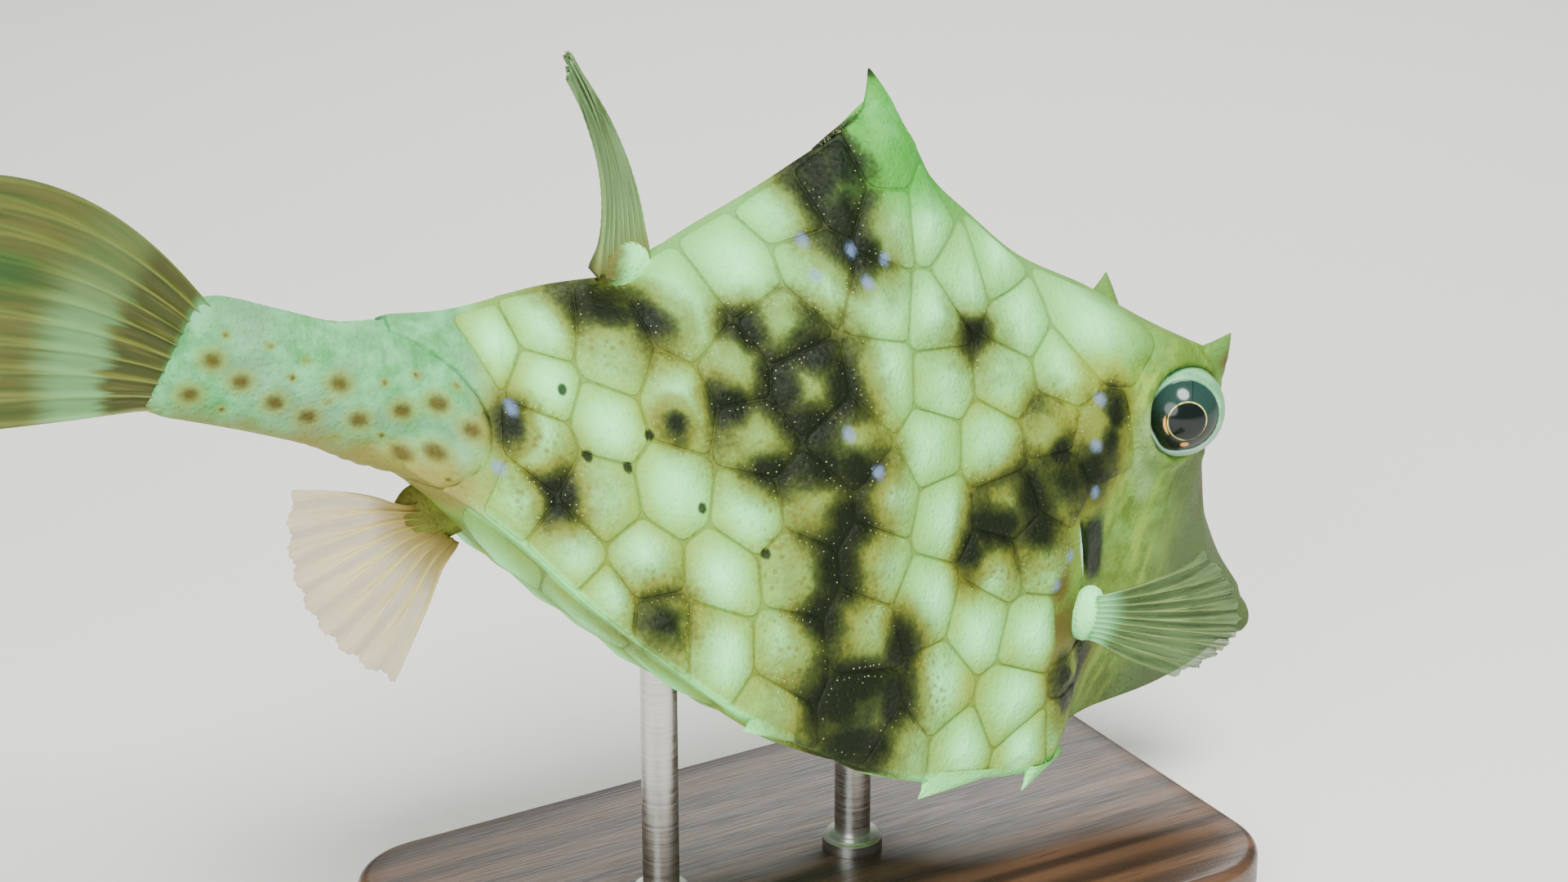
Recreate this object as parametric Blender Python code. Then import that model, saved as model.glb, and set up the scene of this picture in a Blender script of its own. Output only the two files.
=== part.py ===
"""Humpback turretfish, a still life-size model held by a plain display stand.

Metres, +Z up, and +X is the way the fish heads. The origin is the middle of the base's underside.
The fish is shaped in its own level frame, where s is the distance behind the tip of the snout, y is
to the fish's left and z is above the mouth. An empty then tips it nose down and lifts it to its place.
"""

import functools
import math
import random

import bmesh
import bpy
import numpy as np
from mathutils import Matrix, Vector

# Pose and place of the fish
PITCH = math.radians(16)
SNOUT_X = 0.072
SNOUT_Z = 0.030
GAP = 0.0003

# The shell's rails: the dorsal keel and the middle of the belly as (s, z), the others as (s, y, z)
KEEL = (
    (0.0012, 0.0036), (0.0025, 0.0048), (0.005, 0.0068), (0.008, 0.0096), (0.012, 0.0142),
    (0.0152, 0.0182), (0.0176, 0.0232), (0.0192, 0.0286), (0.0208, 0.0332), (0.0232, 0.0372),
    (0.0265, 0.0394), (0.0303, 0.0406), (0.0419, 0.0445), (0.0541, 0.0470), (0.0653, 0.0519),
    (0.0723, 0.0568), (0.0788, 0.0640), (0.0832, 0.0668), (0.0862, 0.0630), (0.0899, 0.0592),
    (0.0986, 0.0518), (0.1096, 0.0444), (0.1130, 0.0415), (0.1160, 0.0385), (0.1197, 0.0379),
    (0.1270, 0.0362), (0.1399, 0.0317), (0.1475, 0.0305),
)
BROW = (
    (0.0012, 0.0022, 0.0030), (0.005, 0.0030, 0.0058), (0.008, 0.0032, 0.0084), (0.012, 0.0034, 0.0130),
    (0.0155, 0.0036, 0.0178), (0.019, 0.0042, 0.0266), (0.022, 0.0070, 0.0345), (0.025, 0.0102, 0.0384),
    (0.028, 0.0125, 0.0405), (0.034, 0.0135, 0.0415), (0.042, 0.0112, 0.0412), (0.052, 0.0092, 0.0405),
    (0.068, 0.0080, 0.0440), (0.083, 0.0072, 0.0505), (0.092, 0.0072, 0.0470), (0.104, 0.0072, 0.0395),
    (0.125, 0.0062, 0.0320), (0.139, 0.0045, 0.0290), (0.1475, 0.0030, 0.0288),
)
FLANK = (
    (0.0012, 0.0034, 0.0006), (0.005, 0.0046, 0.0024), (0.008, 0.0054, 0.0042), (0.012, 0.0066, 0.0078),
    (0.018, 0.0080, 0.0162), (0.024, 0.0112, 0.0222), (0.033, 0.0150, 0.0252), (0.042, 0.0168, 0.0258),
    (0.052, 0.0182, 0.0225), (0.068, 0.0188, 0.0205), (0.085, 0.0198, 0.0265), (0.104, 0.0180, 0.0225),
    (0.125, 0.0134, 0.0215), (0.139, 0.0088, 0.0225), (0.1475, 0.0045, 0.0240),
)
WAIST = (
    (0.0012, 0.0032, -0.0022), (0.005, 0.0048, -0.0026), (0.008, 0.0062, -0.0026), (0.012, 0.0078, -0.0014),
    (0.018, 0.0094, 0.0010), (0.026, 0.0122, 0.0026), (0.036, 0.0150, 0.0030), (0.042, 0.0178, 0.0020),
    (0.047, 0.0220, 0.0000), (0.052, 0.0242, -0.0015), (0.068, 0.0264, -0.0015), (0.085, 0.0280, 0.0030),
    (0.104, 0.0258, 0.0055), (0.125, 0.0192, 0.0115), (0.139, 0.0106, 0.0170), (0.1475, 0.0045, 0.0190),
)
RIDGE = (
    (0.0012, 0.0022, -0.0036), (0.005, 0.0036, -0.0054), (0.010, 0.0053, -0.0078), (0.018, 0.0070, -0.0108),
    (0.0275, 0.0085, -0.0134), (0.036, 0.0125, -0.0150), (0.042, 0.0195, -0.0160), (0.047, 0.0243, -0.0165),
    (0.052, 0.0262, -0.0170), (0.0716, 0.0312, -0.0165), (0.085, 0.0340, -0.0138), (0.104, 0.0335, -0.0080),
    (0.1119, 0.0315, -0.0042), (0.1251, 0.0245, 0.0030), (0.1323, 0.0185, 0.0080), (0.1387, 0.0120, 0.0113),
    (0.1475, 0.0050, 0.0140),
)
BELLY = (
    (0.0012, -0.0042), (0.005, -0.0063), (0.010, -0.0086), (0.018, -0.0118), (0.0275, -0.0146),
    (0.036, -0.0168), (0.042, -0.0180), (0.052, -0.0192), (0.0716, -0.0190), (0.085, -0.0165),
    (0.104, -0.0105), (0.1119, -0.0065), (0.1251, 0.0005), (0.1323, 0.0048), (0.1387, 0.0090),
    (0.1475, 0.0130),
)
SNOUT_TIP = 0.0012
NECK = 0.040
SHELL_END = 0.1472
FLANK_STEPS = 8
BELLY_STEPS = 3
HEAD_STATION = 0.0028
SHELL_STATION = 0.0068
JOINT_MARGIN = 0.003

# The round notch at the shell's rear, which the tail comes out of
RIM_AT = (0.1510, 0.0190)
RIM_HALF = (0.0160, 0.0106)
RIM_REACH = 0.020
RIM_SIDES = 28

# Tail stalk: s, height of its middle, half height, half width, and how far its top leads its bottom
STALK = (
    (0.1290, 0.0192, 0.0045, 0.0040, 0.0), (0.1340, 0.0194, 0.0072, 0.0068, 0.0),
    (0.1390, 0.0197, 0.0085, 0.0076, 0.0), (0.1470, 0.0200, 0.0085, 0.0064, 0.0),
    (0.1550, 0.0211, 0.0078, 0.0050, 0.0), (0.1630, 0.0221, 0.0077, 0.0038, 0.0012),
    (0.1712, 0.0229, 0.0078, 0.0026, 0.0020),
)
STALK_SIDES = 16

# Raised shell plates
PLATE_SIZE = 0.0130
HEAD_PLATE_SIZE = 0.0100
BELLY_PLATE_SIZE = 0.0165
PLATE_RISE = 0.0006
PLATE_CROWN = 0.0004
PLATE_ROOT = 0.0016
PLATE_SEAM = 0.0009
PLATE_STRAY = 0.0007
PLATE_TOP = 0.93
LEAST_PLATE = 0.26
LEAST_SIDE = 0.07
# Where they lie, as the first and last distance behind the snout
HEAD_PLATES = (0.0115, 0.0388)
FLANK_PLATES = (0.0412, 0.1400)
BELLY_PLATES = (0.0412, 0.1330)
# How far they keep from the keel, the ventral ridges, the rear notch, the lids and the rods
KEEL_MARGIN = 0.0024
RIDGE_MARGIN = 0.0016
UNDER_MARGIN = 0.0022
NOTCH_MARGIN = 0.0012
LID_MARGIN = 0.0006
ROD_MARGIN = 0.0012
# The round clearings for the gill opening with the pectoral fin, and for the anal fin
GILL_CLEARING = ((0.0451, 0.0062), 0.0092)
ANAL_CLEARING = ((0.1345, 0.0), 0.0070)

# Thorns as root, tip and the root's half sizes along the body and across it, in (s, y, z)
HUMP_THORN = ((0.0815, 0.0, 0.0600), (0.0862, 0.0, 0.0694), 0.0042, 0.0024)
BROW_THORN = ((0.0296, 0.0112, 0.0378), (0.0262, 0.0142, 0.0442), 0.0048, 0.0028)
RIDGE_THORNS = (
    ((0.0490, 0.0240, -0.0158), (0.0525, 0.0267, -0.0198), 0.0034, 0.0019),
    ((0.0685, 0.0292, -0.0150), (0.0730, 0.0317, -0.0190), 0.0037, 0.0020),
    ((0.0990, 0.0320, -0.0083), (0.1055, 0.0348, -0.0093), 0.0034, 0.0020),
)
THORN_SIDES = 8
THORN_STEPS = 4
THORN_HOOK = 0.18
THORN_TAPER = 0.88
THORN_SWELL = 0.8

# Eyes, lids, nostrils, gill openings and lips
EYE_AT = (0.0322, 0.0138, 0.0320)
EYE_RADIUS = 0.0062
EYE_FACES = (0.05, 0.98, 0.10)
LID_OUT = 0.0009
LID_RING = 0.0063
LID_BEAD = 0.0009
NOSTRIL_AT = (0.0215, 0.0262)
NOSTRIL_RADIUS = 0.0008
GILL_TOP = (0.0479, 0.0165)
GILL_BOTTOM = (0.0429, 0.0080)
GILL_WIDTH = 0.0006
GILL_DEPTH = 0.0022
LIPS_AT = (0.0004, 0.0, -0.0012)
LIPS_HALF = (0.0026, 0.0017)
LIPS_BEAD = 0.0015
LIPS_LEAN = math.radians(14)

# Fins: the fleshy lobe's middle and half sizes, the first and last ray's roots, the first, middle
# and last ray's tips, and how far the middle of the first and the last ray bows, all in (s, y, z)
CAUDAL = {
    "lobe": ((0.1725, 0.0, 0.0230), (0.0032, 0.0019, 0.0079)),
    "roots": ((0.1712, 0.0, 0.0296), (0.1745, 0.0, 0.0164)),
    "tips": ((0.2065, 0.0, 0.0415), (0.2140, 0.0, 0.0270), (0.2070, 0.0, 0.0095)),
    "bow": ((0.0, -0.0006, 0.0050), (0.0, -0.0006, 0.0)),
    "rays": 10,
}
DORSAL = {
    "lobe": ((0.1156, 0.0, 0.0398), (0.0040, 0.0022, 0.0036)),
    "roots": ((0.1128, 0.0, 0.0415), (0.1184, 0.0, 0.0390)),
    "tips": ((0.1304, 0.0, 0.0648), (0.1330, -0.0040, 0.0663), (0.1343, -0.0080, 0.0646)),
    "bow": ((-0.0033, 0.0, 0.0), (-0.0014, 0.0, 0.0)),
    "rays": 9,
}
ANAL = {
    "lobe": ((0.1345, 0.0, 0.0060), (0.0062, 0.0026, 0.0042)),
    "roots": ((0.1388, 0.0, 0.0060), (0.1315, 0.0, 0.0020)),
    "tips": ((0.1549, 0.0, 0.0072), (0.1500, -0.0010, -0.0075), (0.1357, -0.0020, -0.0168)),
    "bow": ((0.0, -0.0008, 0.0010), (0.0, -0.0008, 0.0)),
    "rays": 9,
}
PECTORAL = {
    "lobe": ((0.0446, 0.0212, 0.0044), (0.0029, 0.0028, 0.0045)),
    "roots": ((0.0442, 0.0228, 0.0075), (0.0438, 0.0232, 0.0012)),
    "tips": ((0.0415, 0.0370, 0.0195), (0.0354, 0.0408, 0.0106), (0.0432, 0.0395, 0.0028)),
    "bow": ((0.0, 0.0016, 0.0), (0.0012, 0.0010, 0.0)),
    "rays": 10,
}
RAY_HALF = 0.00065
RAY_TAPER = 0.55
WEB_HALF = 0.00027
FIN_ROWS = 5
SCALLOP = 0.04

# Display stand
BASE_LENGTH = 0.116
BASE_WIDTH = 0.068
BASE_HEIGHT = 0.008
BASE_CORNER = 0.012
BASE_CORNER_STEPS = 6
BASE_EDGE = 0.0015
ROD_RADIUS = 0.0025
ROD_AT = (0.0625, 0.0960)
ROD_IN_BASE = 0.005
ROD_IN_BELLY = 0.006

COLOURS = {
    "head": (0.38, 0.42, 0.20), "carapace": (0.55, 0.62, 0.42), "tail_stalk": (0.58, 0.64, 0.50),
    "caudal_fin": (0.33, 0.30, 0.14), "dorsal_fin": (0.36, 0.45, 0.33), "anal_fin": (0.55, 0.40, 0.24),
    "pectoral_fin": (0.50, 0.48, 0.40), "eye": (0.05, 0.09, 0.09), "lips": (0.36, 0.38, 0.28),
    "base": (0.12, 0.06, 0.03), "rod": (0.62, 0.60, 0.56),
}


def at(s, y, z):
    """A point given by its distance behind the snout, in the fish's frame."""
    return Vector((-s, y, z))


def along(rail, s):
    """The rail's values at s, on a curve that keeps to the rail's own rises and falls."""
    table = np.asarray(rail)
    knots = table[:, 0]
    s = min(max(s, knots[0]), knots[-1])
    i = min(int(np.searchsorted(knots, s, side="right")) - 1, len(knots) - 2)
    steps = np.diff(knots)[:, None]
    slopes = np.diff(table[:, 1:], axis=0) / steps

    def tangent(k):
        if k in (0, len(knots) - 1):
            return slopes[min(k, len(slopes) - 1)]
        before, after = slopes[k - 1], slopes[k]
        mean = 2 * before * after / np.where(before + after == 0, 1, before + after)
        return np.where(before * after > 0, mean, 0)

    h = steps[i, 0]
    u = (s - knots[i]) / h
    first, last = table[i, 1:], table[i + 1, 1:]
    return (
        first * (1 + 2 * u) * (1 - u) ** 2
        + last * u * u * (3 - 2 * u)
        + h * (tangent(i) * u * (1 - u) ** 2 - tangent(i + 1) * u * u * (1 - u))
    )


@functools.lru_cache(maxsize=None)
def outline(s):
    """The rails' (y, z) at s from the keel to the ventral ridge, numbered from 0 to 4."""
    rows = [(0, 0.0, along(KEEL, s)[0])]
    return rows + [(k + 1, *along(rail, s)) for k, rail in enumerate((BROW, FLANK, WAIST, RIDGE))]


def flank_point(s, t):
    """(y, z) on the flank at s, with t from 0 on the keel to 1 on the ventral ridge."""
    return along(outline(s), 4 * t)


def belly_point(s, t):
    """(y, z) on the belly at s, with t from 0 on the ventral ridge to 1 in the middle."""
    y, z = along(RIDGE, s)
    middle = along(BELLY, s)[0]
    return y * (1 - t), middle + (z - middle) * (1 - t) ** 2


def section(s):
    """A closed ring of points round the shell at s, from the keel down the fish's left side."""
    left = [flank_point(s, t) for t in np.linspace(0, 1, FLANK_STEPS + 1)]
    left += [belly_point(s, t) for t in np.linspace(0, 1, BELLY_STEPS + 1)[1:]]
    right = [(-y, z) for y, z in left[-2:0:-1]]
    return [at(s, y, z) for y, z in left + right]


def material(name, colour, roughness=0.45, metallic=0.0):
    made = bpy.data.materials.new(name)
    made.use_nodes = True
    shader = made.node_tree.nodes["Principled BSDF"]
    shader.inputs["Base Color"].default_value = (*colour, 1)
    shader.inputs["Roughness"].default_value = roughness
    shader.inputs["Metallic"].default_value = metallic
    return made


def solid(name, points, faces):
    """A mesh object whose faces point out, which isn't in the scene yet."""
    mesh = bpy.data.meshes.new(name)
    mesh.from_pydata([tuple(p) for p in points], [], [tuple(f) for f in faces])
    shape = bmesh.new()
    shape.from_mesh(mesh)
    bmesh.ops.recalc_face_normals(shape, faces=shape.faces)
    if shape.calc_volume(signed=True) < 0:
        bmesh.ops.reverse_faces(shape, faces=shape.faces)
    bmesh.ops.triangulate(shape, faces=[face for face in shape.faces if len(face.verts) > 4])
    shape.to_mesh(mesh)
    shape.free()
    obj = bpy.data.objects.new(name, mesh)
    bpy.context.scene.collection.objects.link(obj)
    return obj


def loft(name, rings):
    """A closed solid through rings of equal length, capped at both ends."""
    count = len(rings[0])
    points = [point for ring in rings for point in ring]
    faces = [list(range(count)), list(range(len(points) - count, len(points)))]
    for k in range(len(rings) - 1):
        for i in range(count):
            j = (i + 1) % count
            faces.append((k * count + i, k * count + j, (k + 1) * count + j, (k + 1) * count + i))
    return solid(name, points, faces)


def ellipsoid(name, centre, halves, turn=Matrix(), segments=12, rings=8):
    """halves run along the fish, across it and up, before the turn."""
    shape = bmesh.new()
    size = Matrix.Diagonal((*halves, 1))
    place = Matrix.Translation(at(*centre)) @ turn @ size
    bmesh.ops.create_uvsphere(shape, u_segments=segments, v_segments=rings, radius=1, matrix=place)
    mesh = bpy.data.meshes.new(name)
    shape.to_mesh(mesh)
    shape.free()
    obj = bpy.data.objects.new(name, mesh)
    bpy.context.scene.collection.objects.link(obj)
    return obj


def ring(name, place, halves, bead, steps=18, sides=6):
    """A closed bead round an ellipse in the XY plane of the place."""
    points = []
    for k in range(steps):
        a = 2 * math.pi * k / steps
        centre = Vector((halves[0] * math.cos(a), halves[1] * math.sin(a), 0))
        out = Vector((halves[1] * math.cos(a), halves[0] * math.sin(a), 0)).normalized()
        for i in range(sides):
            b = 2 * math.pi * i / sides
            points.append(place @ (centre + bead * (math.cos(b) * out + math.sin(b) * Vector((0, 0, 1)))))
    faces = []
    for k in range(steps):
        for i in range(sides):
            near, far = k * sides, (k + 1) % steps * sides
            j = (i + 1) % sides
            faces.append((near + i, far + i, far + j, near + j))
    return solid(name, points, faces)


def rod(name, centre, radius, low, high, sides=24):
    """A vertical round bar between two heights."""
    rings = []
    for z in (low, high):
        angles = [2 * math.pi * i / sides for i in range(sides)]
        rings.append([Vector((centre[0] + radius * math.cos(a), radius * math.sin(a), z)) for a in angles])
    return loft(name, rings)


def applied(obj, modifier):
    """Puts the modifier's result into the mesh and removes the modifier."""
    graph = bpy.context.evaluated_depsgraph_get()
    mesh = bpy.data.meshes.new_from_object(obj.evaluated_get(graph))
    obj.modifiers.remove(modifier)
    old, obj.data = obj.data, mesh
    bpy.data.meshes.remove(old)


def combine(body, pieces, operation):
    """One Boolean of the body with all the pieces, which are then removed."""
    group = bpy.data.collections.new("pieces")
    bpy.context.scene.collection.children.link(group)
    for piece in pieces:
        group.objects.link(piece)
    modifier = body.modifiers.new(operation.lower(), "BOOLEAN")
    modifier.operation = operation
    modifier.solver = "MANIFOLD"
    modifier.operand_type = "COLLECTION"
    modifier.collection = group
    bpy.context.view_layer.update()
    applied(body, modifier)
    for piece in pieces:
        bpy.data.objects.remove(piece)
    bpy.data.collections.remove(group)
    keep_largest(body)


def keep_largest(body):
    """Leaves only the largest closed surface of the body's mesh."""
    shape = bmesh.new()
    shape.from_mesh(body.data)
    bmesh.ops.triangulate(shape, faces=shape.faces)
    unseen = set(shape.verts)
    islands = []
    while unseen:
        island = {unseen.pop()}
        front = list(island)
        while front:
            vert = front.pop()
            reached = {edge.other_vert(vert) for edge in vert.link_edges} & unseen
            unseen -= reached
            island |= reached
            front += reached
        islands.append(island)

    def volume(island):
        faces = {face for vert in island for face in vert.link_faces}
        return sum(f.verts[0].co.dot(f.verts[1].co.cross(f.verts[2].co)) for f in faces)

    largest = max(islands, key=volume)
    bmesh.ops.delete(shape, geom=[v for v in shape.verts if v not in largest], context="VERTS")
    shape.to_mesh(body.data)
    shape.free()


def surface(s, z, side, lift):
    """The point lifted off the flank at s and height z, on the side of the sign given."""
    low, high = 0.0, 1.0
    for _ in range(24):
        middle = (low + high) / 2
        if flank_point(s, middle)[1] > z:
            low = middle
        else:
            high = middle
    t = min(max(low, 0.004), 0.996)
    step_s, step_t = 0.0004, 0.004
    y, found = flank_point(s, t)
    ahead, behind = flank_point(s - step_s, t), flank_point(s + step_s, t)
    above, below = flank_point(s, t - step_t), flank_point(s, t + step_t)
    run = Vector((2 * step_s, ahead[0] - behind[0], ahead[1] - behind[1]))
    fall = Vector((0, below[0] - above[0], below[1] - above[1]))
    normal = run.cross(fall).normalized()
    if normal.y < 0:
        normal.negate()
    point = at(s, y, found) + lift * normal
    point.y *= side
    return point


def under(s, y, lift):
    """The point lifted down off the belly at s and y."""
    t = 1 - abs(y) / along(RIDGE, s)[0]
    return at(s, y, belly_point(s, min(max(t, 0), 1))[1] - lift)


def clipped(polygon, point, normal):
    """The part of a flat convex polygon behind the line through the point."""
    kept = []
    for k, here in enumerate(polygon):
        there = polygon[(k + 1) % len(polygon)]
        a, b = (here - point).dot(normal), (there - point).dot(normal)
        if a <= 0:
            kept.append(here)
        if a * b < 0:
            kept.append(here.lerp(there, a / (a - b)))
    return kept


def lattice(low, high, size, draw):
    """Seeds of a honeycomb in columns over the box from low to high, each a little astray."""
    seeds = []
    columns = int((high[0] - low[0]) / (size * math.sqrt(0.75))) + 2
    rows = int((high[1] - low[1]) / size) + 2
    for i in range(columns):
        for j in range(rows):
            x = low[0] + i * size * math.sqrt(0.75)
            y = low[1] + (j + 0.5 * (i % 2)) * size
            stray = Vector((draw.uniform(-1, 1), draw.uniform(-1, 1))) * PLATE_STRAY
            seeds.append(Vector((x, y)) + stray)
    return seeds


def plates(seeds, size, walls, lifted):
    """A raised plate for each seed: its cell, kept behind the walls, set on the surface by lifted."""
    made = []
    for seed in seeds:
        corners = ((-size, -size), (size, -size), (size, size), (-size, size))
        cell = [seed + Vector(corner) for corner in corners]
        for other in seeds:
            apart = other - seed
            if 0 < apart.length < 2 * size:
                out = apart.normalized()
                cell = clipped(cell, seed + apart / 2 - out * PLATE_SEAM / 2, out)
        for point, out in walls(seed):
            cell = clipped(cell, point, out)
        if len(cell) < 3:
            continue
        middle = sum(cell, Vector((0, 0))) / len(cell)
        spread = min((corner - middle).length for corner in cell)
        if spread < LEAST_PLATE * size:
            continue
        cell = [corner for k, corner in enumerate(cell) if (corner - cell[k - 1]).length > LEAST_SIDE * size]
        count = len(cell)
        points = [lifted(corner, -PLATE_ROOT) for corner in cell]
        points += [lifted(middle.lerp(corner, PLATE_TOP), PLATE_RISE) for corner in cell]
        points.append(lifted(middle, PLATE_RISE + PLATE_CROWN))
        faces = [tuple(range(count))]
        for i in range(count):
            j = (i + 1) % count
            faces.append((i, j, count + j, count + i))
            faces.append((count + i, count + j, 2 * count))
        made.append(solid("plate", points, faces))
    return made


def line_wall(rail, column, s, sign, inset):
    """The wall that a rail makes near s in the side view, with sign 1 for a rail above the plate."""
    step = 0.001
    ahead, behind = along(rail, s + step)[column], along(rail, s - step)[column]
    out = Vector((behind - ahead, 2 * step)).normalized() * sign
    return Vector((s, along(rail, s)[column])) - out * inset, out


def flank_walls(first, last):
    """Walls of the shell's side between two distances behind the snout."""

    def walls(seed):
        s = min(max(seed.x, first), last)
        found = [line_wall(KEEL, 0, s, 1, KEEL_MARGIN), line_wall(RIDGE, 1, s, -1, RIDGE_MARGIN)]
        found.append((Vector((first, 0)), Vector((-1, 0))))
        found.append((Vector((last, 0)), Vector((1, 0))))
        found.append(round_wall(seed, RIM_AT, RIM_HALF[0] + NOTCH_MARGIN))
        found.append(round_wall(seed, *GILL_CLEARING))
        found.append(round_wall(seed, (EYE_AT[0], EYE_AT[2]), LID_RING + LID_BEAD + LID_MARGIN))
        return found

    return walls


def round_wall(seed, centre, radius):
    """The wall on the near side of a round opening."""
    out = (Vector(centre) - seed).normalized()
    return Vector(centre) - out * radius, out


def belly_walls(first, last):
    """Walls of the shell's flat underside between two distances behind the snout."""

    def walls(seed):
        s = min(max(seed.x, first), last)
        left = line_wall(RIDGE, 0, s, 1, UNDER_MARGIN)
        right = (Vector((left[0].x, -left[0].y)), Vector((left[1].x, -left[1].y)))
        found = [left, right, (Vector((first, 0)), Vector((-1, 0))), (Vector((last, 0)), Vector((1, 0)))]
        found += [round_wall(seed, (s, 0), ROD_RADIUS + ROD_MARGIN) for s in ROD_AT]
        found.append(round_wall(seed, *ANAL_CLEARING))
        return found

    return walls


def thorn(name, root, tip, long_half, cross_half, side=1):
    """A tapering thorn that hooks back a little towards its tip."""
    root = at(root[0], root[1] * side, root[2])
    tip = at(tip[0], tip[1] * side, tip[2])
    axis = tip - root
    across = axis.cross(Vector((1, 0, 0))).normalized()
    forward = across.cross(axis).normalized()
    rings = []
    for k in range(THORN_STEPS + 1):
        u = k / THORN_STEPS
        centre = root + axis * u + forward * (THORN_HOOK * axis.length * u * (1 - u))
        size = 1 - THORN_TAPER * u ** THORN_SWELL
        angles = [2 * math.pi * i / THORN_SIDES for i in range(THORN_SIDES)]
        rings.append([
            centre + size * (long_half * math.cos(a) * forward + cross_half * math.sin(a) * across)
            for a in angles
        ])
    return loft(name, rings)


def blade(name, fin, side):
    """A fin's web with its rays raised as ridges in both faces."""
    columns = 2 * fin["rays"] - 1
    first, last = (np.array(p) for p in fin["roots"])
    start, middle, end = (np.array(p) for p in fin["tips"])
    lead_bow, trail_bow = (np.array(p) for p in fin["bow"])
    grid = np.zeros((columns, FIN_ROWS + 1, 3))
    half = np.zeros((columns, FIN_ROWS + 1))
    for c in range(columns):
        a = c / (columns - 1)
        root = first + (last - first) * a
        tip = start * (1 - a) * (1 - 2 * a) + middle * 4 * a * (1 - a) + end * a * (2 * a - 1)
        bow = lead_bow + (trail_bow - lead_bow) * a
        web = c % 2
        for r in range(FIN_ROWS + 1):
            v = r / FIN_ROWS
            reach = v * (1 - SCALLOP * web * v)
            grid[c, r] = root + (tip - root) * reach + bow * 4 * v * (1 - v)
            half[c, r] = WEB_HALF if web else RAY_HALF * (1 - RAY_TAPER * v)
    grid[..., 0] *= -1
    grid[..., 1] *= side
    normals = np.cross(np.gradient(grid, axis=0), np.gradient(grid, axis=1))
    normals /= np.linalg.norm(normals, axis=2, keepdims=True)
    points = np.concatenate([
        (grid + normals * half[..., None]).reshape(-1, 3),
        (grid - normals * half[..., None]).reshape(-1, 3),
    ])
    count = columns * (FIN_ROWS + 1)

    def index(c, r, face):
        return face * count + c * (FIN_ROWS + 1) + r

    faces = []
    for c in range(columns - 1):
        for r in range(FIN_ROWS):
            for face in (0, 1):
                a, b = index(c, r, face), index(c + 1, r, face)
                d, e = index(c, r + 1, face), index(c + 1, r + 1, face)
                faces += [(a, b, e), (a, e, d)]
    for c in range(columns - 1):
        for r in (0, FIN_ROWS):
            faces.append((index(c, r, 0), index(c + 1, r, 0), index(c + 1, r, 1), index(c, r, 1)))
    for r in range(FIN_ROWS):
        for c in (0, columns - 1):
            faces.append((index(c, r, 0), index(c, r + 1, 0), index(c, r + 1, 1), index(c, r, 1)))
    return solid(name, points, faces)


def lobe(name, fin, side, grown):
    """The fleshy lobe at a fin's root, or with grown its pocket's cutter."""
    (s, y, z), halves = fin["lobe"]
    return ellipsoid(name, (s, y * side, z), [half + grown for half in halves])


def fin_node(name, fin, side=1):
    body = lobe(name, fin, side, 0)
    combine(body, [blade("web", fin, side)], "UNION")
    return body


def make_head():
    stations = [*np.arange(SNOUT_TIP, NECK - JOINT_MARGIN, HEAD_STATION), NECK - GAP / 2]
    head = loft("head", [section(s) for s in stations])
    draw = random.Random(11)
    grown = []
    for side in (1, -1):
        seeds = lattice((0.012, -0.012), (0.041, 0.044), HEAD_PLATE_SIZE, draw)
        walls = flank_walls(*HEAD_PLATES)
        grown += plates(seeds, HEAD_PLATE_SIZE, walls, lambda p, lift: surface(p.x, p.y, side, lift))
        grown.append(thorn("brow_thorn", *BROW_THORN, side))
        faces = Vector((EYE_FACES[0], EYE_FACES[1] * side, EYE_FACES[2])).normalized()
        centre = at(EYE_AT[0], EYE_AT[1] * side, EYE_AT[2]) + faces * LID_OUT
        place = Matrix.Translation(centre) @ faces.to_track_quat("Z", "Y").to_matrix().to_4x4()
        grown.append(ring("lid", place, (LID_RING, LID_RING), LID_BEAD))
    combine(head, grown, "UNION")
    cutters = []
    for side in (1, -1):
        s, y, z = EYE_AT
        cutters.append(ellipsoid("socket", (s, y * side, z), [EYE_RADIUS + GAP] * 3, segments=16, rings=10))
        pit = surface(*NOSTRIL_AT, side, 0)
        cutters.append(ellipsoid("nostril", (-pit.x, pit.y, pit.z), [NOSTRIL_RADIUS] * 3, segments=8, rings=6))
    cutters.append(make_lips("pocket", GAP))
    combine(head, cutters, "DIFFERENCE")
    return head


def make_lips(name, grown):
    turn = Matrix.Rotation(math.radians(90) - LIPS_LEAN, 4, "Y") @ Matrix.Rotation(math.radians(90), 4, "Z")
    place = Matrix.Translation(at(*LIPS_AT)) @ turn
    return ring(name, place, LIPS_HALF, LIPS_BEAD + grown)


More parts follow.
